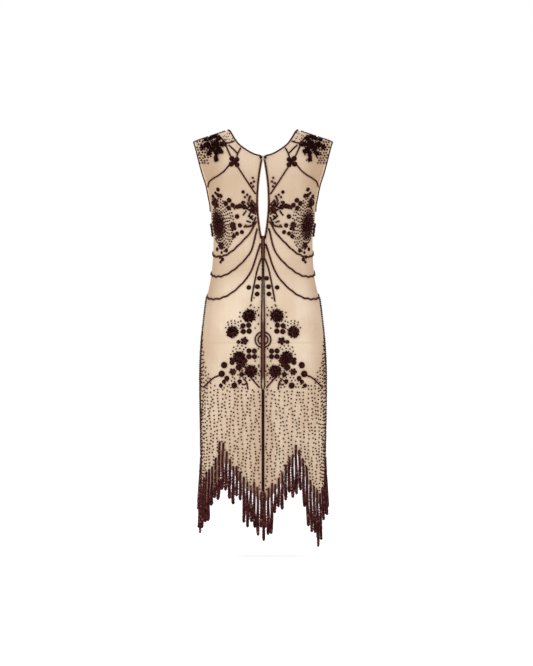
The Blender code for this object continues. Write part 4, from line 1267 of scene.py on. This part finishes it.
# %% Motifs of each side
for side, word in SIDES.items():
    domes = []
    for node, motif in LARGE_FLOWERS.items():
        domes.append(pad_under(motif._replace(radius=motif.radius * 0.86), side, 0.0026, 9, 0.06))
        rows = packed(motif, side, 56, 0.0027, 0.0040, 9, 0.06)
        sewn_on(repeated(f"{node}_beads_{word}", rows, BEAD, GLASS), "beads", f"{node}_{word}")
    rows = [disc_beads(motif, side) for motif in DISCS]
    rows += [petal_flower(motif, side, 5 + number % 3) for number, motif in enumerate(SMALL_FLOWERS)]
    rows.append(packed(LEAF_CLUSTER, side, 40, 0.0023, 0.0020, 5, 0.3))
    rows.append(dots(LOOSE_BEADS, 0.0041, side))
    for motif in DISCS:
        domes.append(pad_under(motif._replace(radius=motif.radius * 0.9), side, motif.radius * 0.42))
    sewn_on(repeated(f"disc_beads_{word}", np.vstack(rows), BEAD, GLASS), "beads")
    rows = [disc_beads(motif, side) for motif in MEDALLION_DISCS]
    domes += [pad_under(motif, side, motif.radius * 0.4) for motif in MEDALLION_DISCS]
    sewn_on(repeated(f"medallion_beads_{word}", np.vstack(rows), BEAD, GLASS), "beads", f"medallion_{word}")
    domes.append(pad_under(SUNBURST._replace(radius=0.0200), side, 0.0022))
    sewn_on(repeated(f"sunburst_beads_{word}", sunburst_rays(side), BEAD, GLASS), "beads", f"sunburst_{word}")
    rows = []
    for number, motif in enumerate(SHOULDER):
        rows.append(shoulder_flower(motif, side, 5 + number % 3))
        domes.append(shoulder_pad(motif, side))
    seam = cloth_spots(np.full(len(SEAM_HEIGHTS), side * SEAM_TURN), SEAM_HEIGHTS, 0.0018)
    rows.append(strung(*seam, radius=0.0026, pitch=0.0042))
    rows.append(laid(np.full(len(TIP_HEIGHTS), TIP_TURN), TIP_HEIGHTS, 0.0010, 0.0031, side, 0.0))
    rows.append(dots([spot for spot in shifted(ARMHOLE_GRID, 0.0007) if beside_rosette(*spot)], 0.0029, side))
    rows.append(dots([spot for spot in shifted(NECK_GRID, 0.0015) if clear_of_neck(*spot)], 0.0019, side))
    rows = np.vstack(rows)
    sewn_on(repeated(f"shoulder_beads_{word}", rows, BEAD, GLASS), "beads", f"shoulder_rosette_{word}")
    sewn_on(joined_pads(f"motif_pads_{word}", domes), "beads")
print("discs on each side:", len(DISCS) + len(MEDALLION_DISCS))

# %% [markdown]
# ## Sprays beside the keyhole
#
# Short strings fan out from the keyhole, below the yoke. Each is a slightly bent twig of small beads, laid by
# its place, angle and length. A small knot of beads holds them together, and a few single beads lie beside
# them.

# %% Sprays
Twig = namedtuple("Twig", "across height angle length")
KNOT = Motif(0.0275, -0.2050, 0.0092)
TWIGS = (
    Twig(0.0215, -0.1900, 52, 0.018), Twig(0.0265, -0.1935, 52, 0.012), Twig(0.0385, -0.1950, 68, 0.009),
    Twig(0.0215, -0.1915, -20, 0.027), Twig(0.0205, -0.2050, 4, 0.018), Twig(0.0230, -0.2110, 12, 0.012),
    Twig(0.0200, -0.2180, 32, 0.033), Twig(0.0470, -0.2080, -54, 0.017), Twig(0.0360, -0.2150, -60, 0.012),
    Twig(0.0285, -0.2210, -60, 0.010), Twig(0.0205, -0.2260, -66, 0.026), Twig(0.0280, -0.2323, 27, 0.012),
    Twig(0.0350, -0.2400, 14, 0.013), Twig(0.0255, -0.2430, 20, 0.006),
    Twig(0.0310, -0.2240, -20, 0.008), Twig(0.0240, -0.1980, 30, 0.016), Twig(0.0250, -0.2080, -25, 0.014),
)
TWIG_BEND, TWIG_NEAREST = 0.0012, 0.0185
YOKE_DOTS = ((0.0286, -0.1160), (0.0250, -0.1264), (0.0330, -0.1310), (0.0275, -0.1400))
ARC_DOTS = ((0.0300, -0.2480), (0.0350, -0.2500), (0.0400, -0.2512), (0.0455, -0.2518), (0.0510, -0.2520))


def twig_points(twig):
    """Four places along a twig, which bends a little. Angle 0 points away from the centre, and 90 up."""
    angle = math.radians(twig.angle)
    steps = np.linspace(0.0, twig.length, 4)
    bend = TWIG_BEND * np.sin(np.pi * steps / twig.length)
    across = twig.across + steps * math.cos(angle) + bend * math.sin(angle)
    height = twig.height + steps * math.sin(angle) + bend * math.cos(angle)
    return [(max(x, TWIG_NEAREST), z) for x, z in zip(across, height)]


for side, word in SIDES.items():
    rows = []
    for twig in TWIGS:
        points, outward = path_on_cloth(twig_points(twig), side, 0.0016)
        rows.append(strung(points, outward, radius=0.0029, pitch=0.0046, tone=0.15))
    rows.append(dots(YOKE_DOTS, 0.0040, side))
    rows.append(dots(ARC_DOTS, 0.0037, side))
    rows.append(packed(KNOT, side, 26, 0.0027, 0.0016, 5, 0.35))
    sewn_on(repeated(f"spray_beads_{word}", np.vstack(rows), BEAD, GLASS), "beads")
print("twigs on each side:", len(TWIGS))

# %% [markdown]
# ## Scattered beads
#
# Single beads fill the skirt from the hips to the hem, in loose columns that waver as they go down. They stand
# closer towards the sides. A few more surround the flowers. The same rule covers the back, where nothing else
# is sewn below the waist.

# %% Columns of single beads
SCATTER_RADIUS = 0.0026
# Where the scatter starts, from the centre line to the side seam, and how near the centre line it comes.
SCATTER_TOP = {
    FRONT: ((0.0, -0.706), (0.45, -0.706), (0.60, -0.690), (0.75, -0.640), (0.90, -0.560), (1.0, -0.530)),
    BACK: ((0.0, -0.640), (0.40, -0.660), (0.70, -0.640), (0.90, -0.560), (1.0, -0.530)),
}
FIRST_COLUMN, NEAREST_CENTRE = {FRONT: 0.045, BACK: 0.020}, {FRONT: 0.03, BACK: 0.006}
COLUMN_STEP, STEP_LOST_AT_SIDE, SIDE_START, SIDE_REACH = 0.050, 0.018, 0.66, 0.2
LAST_COLUMN, NEAREST_SIDE, WAVER, JITTER = 0.985, 0.992, 0.010, 0.0052
SMALLEST_GAP, LARGEST_GAP, LOW_SKIRT, LOW_SKIRT_GAP = 0.0080, 0.0135, -0.86, 0.88
CLEAR_OF_RINGS, BESIDE_BAND, BESIDE_FAN = 0.027, 19, [(0.0250, -0.4510), (0.0335, -0.4705)]
BENEATH_FLOWERS = [
    (0.046 + 0.0098 * i + 0.004 * (j % 2), -0.6370 - 0.0092 * j) for i in range(8) for j in range(8)
]


def scattered(face, side):
    """Turn and height of the single beads of a quarter of the skirt."""
    share, found = FIRST_COLUMN[face], []
    while share < LAST_COLUMN:
        height = np.interp(share, *zip(*SCATTER_TOP[face])) - random.uniform(0.0, 0.012)
        bottom = along_hem(ROOT_LINE, face, side, share) - 0.004
        while height > bottom:
            waver = WAVER * math.sin(height * 55.0 + share * 40.0) + random.normal(0.0, JITTER)
            place = min(max(share + waver, NEAREST_CENTRE[face]), NEAREST_SIDE)
            if height > along_hem(ROOT_LINE, face, side, place) + 0.002:
                found.append((place, height))
            gap = random.uniform(SMALLEST_GAP, LARGEST_GAP)
            height -= gap * (1.0 if height > LOW_SKIRT else LOW_SKIRT_GAP)
        share += COLUMN_STEP - STEP_LOST_AT_SIDE * min(max(share - SIDE_START, 0.0) / SIDE_REACH, 1.0)
    places = np.array(found)
    turn = places[:, 0] if face == FRONT else 2.0 - places[:, 0]
    return turn, places[:, 1]


def round_dots(motif, away, spacing, start, end):
    """Single beads on part of a round about a motif."""
    reach = motif.radius + away
    step = math.degrees(spacing / reach)
    angle = np.radians(np.arange(start, end, step))
    return moved(motif, reach * np.cos(angle), reach * np.sin(angle))


# Which flower, how far out, the spacing, and the first and last angle.
FLOWER_DOTS = (
    ("flower_top", 0.0085, 0.0125, 95, 190), ("flower_top", 0.0080, 0.0125, -60, 30),
    ("flower_side", 0.0070, 0.0105, 30, 185), ("flower_side", 0.0140, 0.0105, 60, 130),
    ("flower_middle", 0.0075, 0.0110, 20, 120), ("flower_middle", 0.0150, 0.0120, 60, 140),
    ("flower_low", 0.0075, 0.0125, -110, 20), ("flower_low", 0.0075, 0.0125, 150, 250),
)
for face in (FRONT, BACK):
    for side, word in SIDES.items():
        turn, height = scattered(face, side)
        rows = [laid(turn, height, SCATTER_RADIUS * 0.75, SCATTER_RADIUS, side)]
        if face == FRONT:
            for node, *settings in FLOWER_DOTS:
                rows.append(laid(*round_dots(LARGE_FLOWERS[node], *settings), 0.0018, 0.0026, side))
            beside = [
                (0.0125 + 0.009 * (i % 2) + random.uniform(-0.001, 0.001), -0.478 - 0.0115 * i)
                for i in range(BESIDE_BAND)
            ]
            beside = [spot for spot in beside if math.hypot(spot[0], spot[1] - RING_HEIGHT) > CLEAR_OF_RINGS]
            rows.append(dots(beside + BESIDE_FAN, 0.0025, side))
            beneath = shifted(BENEATH_FLOWERS, 0.0012)
            beneath = [spot for spot in beneath if spot[0] < 0.062 - 0.9 * (spot[1] + 0.637)]
            rows.append(dots(beneath, 0.0025, side))
        name, rows = f"scattered_{FACES[face]}_{word}", np.vstack(rows)
        sewn_on(repeated(name, rows, BEAD, GLASS), "beads")
        print(name, len(rows))

# %% [markdown]
# ## The fringe
#
# Each strand of the fringe is a rope of beads: three beads round a thread, then three more turned to sit in
# the hollows of the last ones, so the rope has a spiral grain. It is thin where it is sewn on and thicker
# towards its tip. Four pieces, one to each quarter, hold 21 ropes each, and the right front has one more at
# the centre. The ropes hang free, lean slightly, and end at uneven lengths.

# %% Ropes of beads
STRANDS_A_QUARTER, STRAND_STAGGER = 21, 0.038
SEEN_WIDTH, HEM_HEIGHT = 0.174, -0.95
END_STEPS, ROOT_STEPS = (0.0, 0.8, 0.25, 1.0, 0.1, 0.65, 0.9), (0.0, 0.012, 0.004, 0.016, 0.008)
BEAD_STEP, STEP_GAIN = 0.0030, 0.0013
UPRIGHT = [[0.0, 0.0, 1.0]]


def strand_share(number):
    """Where a rope hangs on its quarter: half evenly round the hem, half evenly as seen from the front."""
    even = (number + 0.5) / STRANDS_A_QUARTER
    seen = float(turn_at(SEEN_WIDTH * even, HEM_HEIGHT))
    return 0.5 * even + 0.5 * seen


def strand_end(face, side, number, share):
    """The height of a rope's tip. At the back it is never lower than the front's."""
    stagger = END_STEPS[int(number * 3 + side) % len(END_STEPS)]
    share = share + 0.06 * math.sin(math.pi * min(max((share - 0.42) / 0.58, 0.0), 1.0))
    end = float(along_hem(STRAND_ENDS, face, side, share))
    if face == BACK:
        end = max(end, float(along_hem(STRAND_ENDS, FRONT, side, share)))
    return end + STRAND_STAGGER * stagger


def rope(face, side, number):
    """The beads of one strand."""
    share = strand_share(number)
    step = ROOT_STEPS[int(number * 2 + face) % len(ROOT_STEPS)]
    top = float(along_hem(ROOT_LINE, face, side, share)) + step
    bottom = strand_end(face, side, number, share) - 0.004
    length = top - bottom
    down, heights = 0.0, []
    while down < length - 0.002:
        heights.append(down)
        down += BEAD_STEP + STEP_GAIN * down / length
    down = np.array(heights) / length
    size = 1.1 + 0.10 * math.sin(number * 5.3 + face + 2.0 * side)
    size = size * (1.0 - 0.30 * soft_step((share - 0.50) / 0.3))
    thick = size * np.clip(0.10 + down * 1.05, 0.0, 1.0) * np.clip((1.0 - down) * length / 0.004, 0.75, 1.0)
    ring, bead = 0.0012 + 0.0014 * thick, 0.0022 + 0.0009 * thick
    sway = math.sin(number * 12.9898 + side * 3.1)
    lean = 0.0022 * sway * down**2 + 0.0006 * np.sin(down * 9.0 + number)
    middle_share = np.clip(share + lean / quarter_length(top, face), 0.008, 0.992)
    turn = (middle_share if face == FRONT else 2.0 - middle_share) * side
    flare = 0.0070 * max(share - 0.55, 0.0) / 0.45
    lift = 0.0028 + 0.0016 * np.clip(down * 2.0, 0.0, 1.0) + flare * down**1.4
    middle, outward = cloth_spots(turn, top - down * length, lift)
    sideways = np.cross(outward, UPRIGHT)
    sideways /= np.linalg.norm(sideways, axis=1, keepdims=True)
    front = np.cross(UPRIGHT, sideways)
    made, twist = [], number * 0.7
    for third in range(3):
        angle = (np.arange(len(down)) * math.pi / 3 + third * 2 * math.pi / 3 + twist)[:, None]
        points = middle + (np.cos(angle) * sideways + np.sin(angle) * front) * ring[:, None]
        tone = random.uniform(0.0, 1.0, len(down)) ** 1.6
        # About one bead in twenty gets the painted highlight.
        tone[random.uniform(0.0, 1.0, len(down)) < 0.05] = 2.0
        made.append(beads_at(points, bead, UPRIGHT, flat=0.9, tone=tone))
    made.append(beads_at(middle[::2], ring[::2] * 1.1, UPRIGHT, flat=1.6, tone=0.0))
    tip = beads_at(middle[-1] - [0.0, 0.0, 0.0020], 0.0038 * size, UPRIGHT, flat=1.0, tone=0.3)
    return np.vstack(made + [tip])


for face in (FRONT, BACK):
    for side, word in SIDES.items():
        numbers = list(range(STRANDS_A_QUARTER)) + [-0.5] * (face == FRONT and side == RIGHT)
        rows = np.vstack([rope(face, side, number) for number in numbers])
        quarter = f"fringe_{FACES[face]}_{word}"
        sewn_on(repeated(quarter + "_ropes", rows, SEED, FRINGE_GLASS), "fringe", quarter)
        print(quarter, "beads:", len(rows))

# %% [markdown]
# ## The fastening
#
# Two round beads meet at the neck above the keyhole. One passes through a loop behind the other. They are the
# only beads on the dress large enough to show their holes, so each is spun from a profile.

# %% Two closing beads
BUTTON_RADIUS, BUTTON_ACROSS, BUTTON_HEIGHT = 0.0042, 0.0062, -0.0590
for side, word in SIDES.items():
    bead = bmesh.new()
    angles = np.linspace(math.radians(76), math.radians(-76), 9)
    outline = [bead.verts.new((BUTTON_RADIUS * math.cos(a), 0.0, BUTTON_RADIUS * math.sin(a))) for a in angles]
    edges = [bead.edges.new(pair) for pair in zip(outline, outline[1:] + outline[:1])]
    bmesh.ops.spin(bead, geom=outline + edges, axis=(0, 0, 1), cent=(0, 0, 0), angle=2 * math.pi, steps=20,
                   use_merge=True)
    bmesh.ops.recalc_face_normals(bead, faces=bead.faces)
    turn = turn_at(BUTTON_ACROSS, BUTTON_HEIGHT) * side
    spot, _ = cloth_spots(turn, BUTTON_HEIGHT, BUTTON_RADIUS + 0.0003)
    bmesh.ops.translate(bead, verts=bead.verts, vec=Vector(spot[0]))
    tone = bead.verts.layers.float.new("tone")
    for vertex in bead.verts:
        vertex[tone] = 0.0
    sewn_on(new_piece(f"closing_bead_{word}", bead, GLASS), "beads", f"closure_bead_{word}")
print("closing bead across, in millimetres:", round(2000 * BUTTON_RADIUS, 1))

# %% [markdown]
#
# The three panels are hanging sheets. Each states its true cut area.

# %% [markdown]
# ## Floor, light and camera
#
# A white room with soft light from all round keeps the cloth pale and the beads dark, as in a shop's cut-out
# picture. A long lens stands far back, so the sides of the dress are seen as nearly square on as they are in
# the photograph.

# %% The white room
PALE = new_finish(
    "white_paper",
    lambda start: {},
    Base_Color=(0.97, 0.97, 0.97, 1.0),
    Roughness=0.9,
    Emission_Color=(1.0, 1.0, 1.0, 1.0),
    Emission_Strength=0.25,
)
FLOOR_HEIGHT, FLOOR_REACH = -1.175, 12.0
paper = bmesh.new()
bmesh.ops.create_grid(paper, x_segments=4, y_segments=4, size=FLOOR_REACH)
bmesh.ops.translate(paper, verts=paper.verts, vec=(0.0, 0.0, FLOOR_HEIGHT))
mesh = bpy.data.meshes.new("paper_floor")
paper.to_mesh(mesh)
paper.free()
placed("paper_floor", mesh, PALE)

world = bpy.data.worlds.new("white_room")
world.use_nodes = True
world.node_tree.nodes["Background"].inputs["Color"].default_value = (1.0, 1.0, 1.0, 1.0)
world.node_tree.nodes["Background"].inputs["Strength"].default_value = 1.0
bpy.context.scene.world = world
bpy.context.scene.view_settings.view_transform = "Standard"


def add_light(name, place, aim, width, power):
    light = bpy.data.lights.new(name, "AREA")
    light.shape, light.size, light.energy = "DISK", width, power
    lamp = bpy.data.objects.new(name, light)
    lamp.location = place
    lamp.rotation_euler = (Vector(aim) - Vector(place)).to_track_quat("-Z", "Y").to_euler()
    bpy.context.collection.objects.link(lamp)
    print(name, "light, in watts:", power)


add_light("key", (-2.2, -3.0, 1.6), (0.0, 0.0, -0.5), 1.8, 38.0)
add_light("fill", (2.6, -2.6, 1.0), (0.0, 0.0, -0.6), 2.4, 9.0)
add_light("behind", (0.6, 2.8, 1.8), (0.0, 0.0, -0.4), 2.2, 24.0)

# %% The camera
FRAME_HEIGHT, FRAME_MIDDLE, DISTANCE, DRESS_FRONT = 1.865, (0.0098, -0.549), 20.0, 0.06
lens = bpy.data.cameras.new("square_on")
lens.sensor_fit, lens.sensor_height, lens.sensor_width = "AUTO", 36.0, 36.0
lens.lens = 36.0 * (DISTANCE - DRESS_FRONT) / FRAME_HEIGHT
camera = bpy.data.objects.new("square_on", lens)
camera.location = (FRAME_MIDDLE[0], -DISTANCE, FRAME_MIDDLE[1])
camera.rotation_euler = (math.radians(90), 0.0, 0.0)
bpy.context.collection.objects.link(camera)
bpy.context.scene.camera = camera
print("lens, in millimetres:", round(lens.lens))
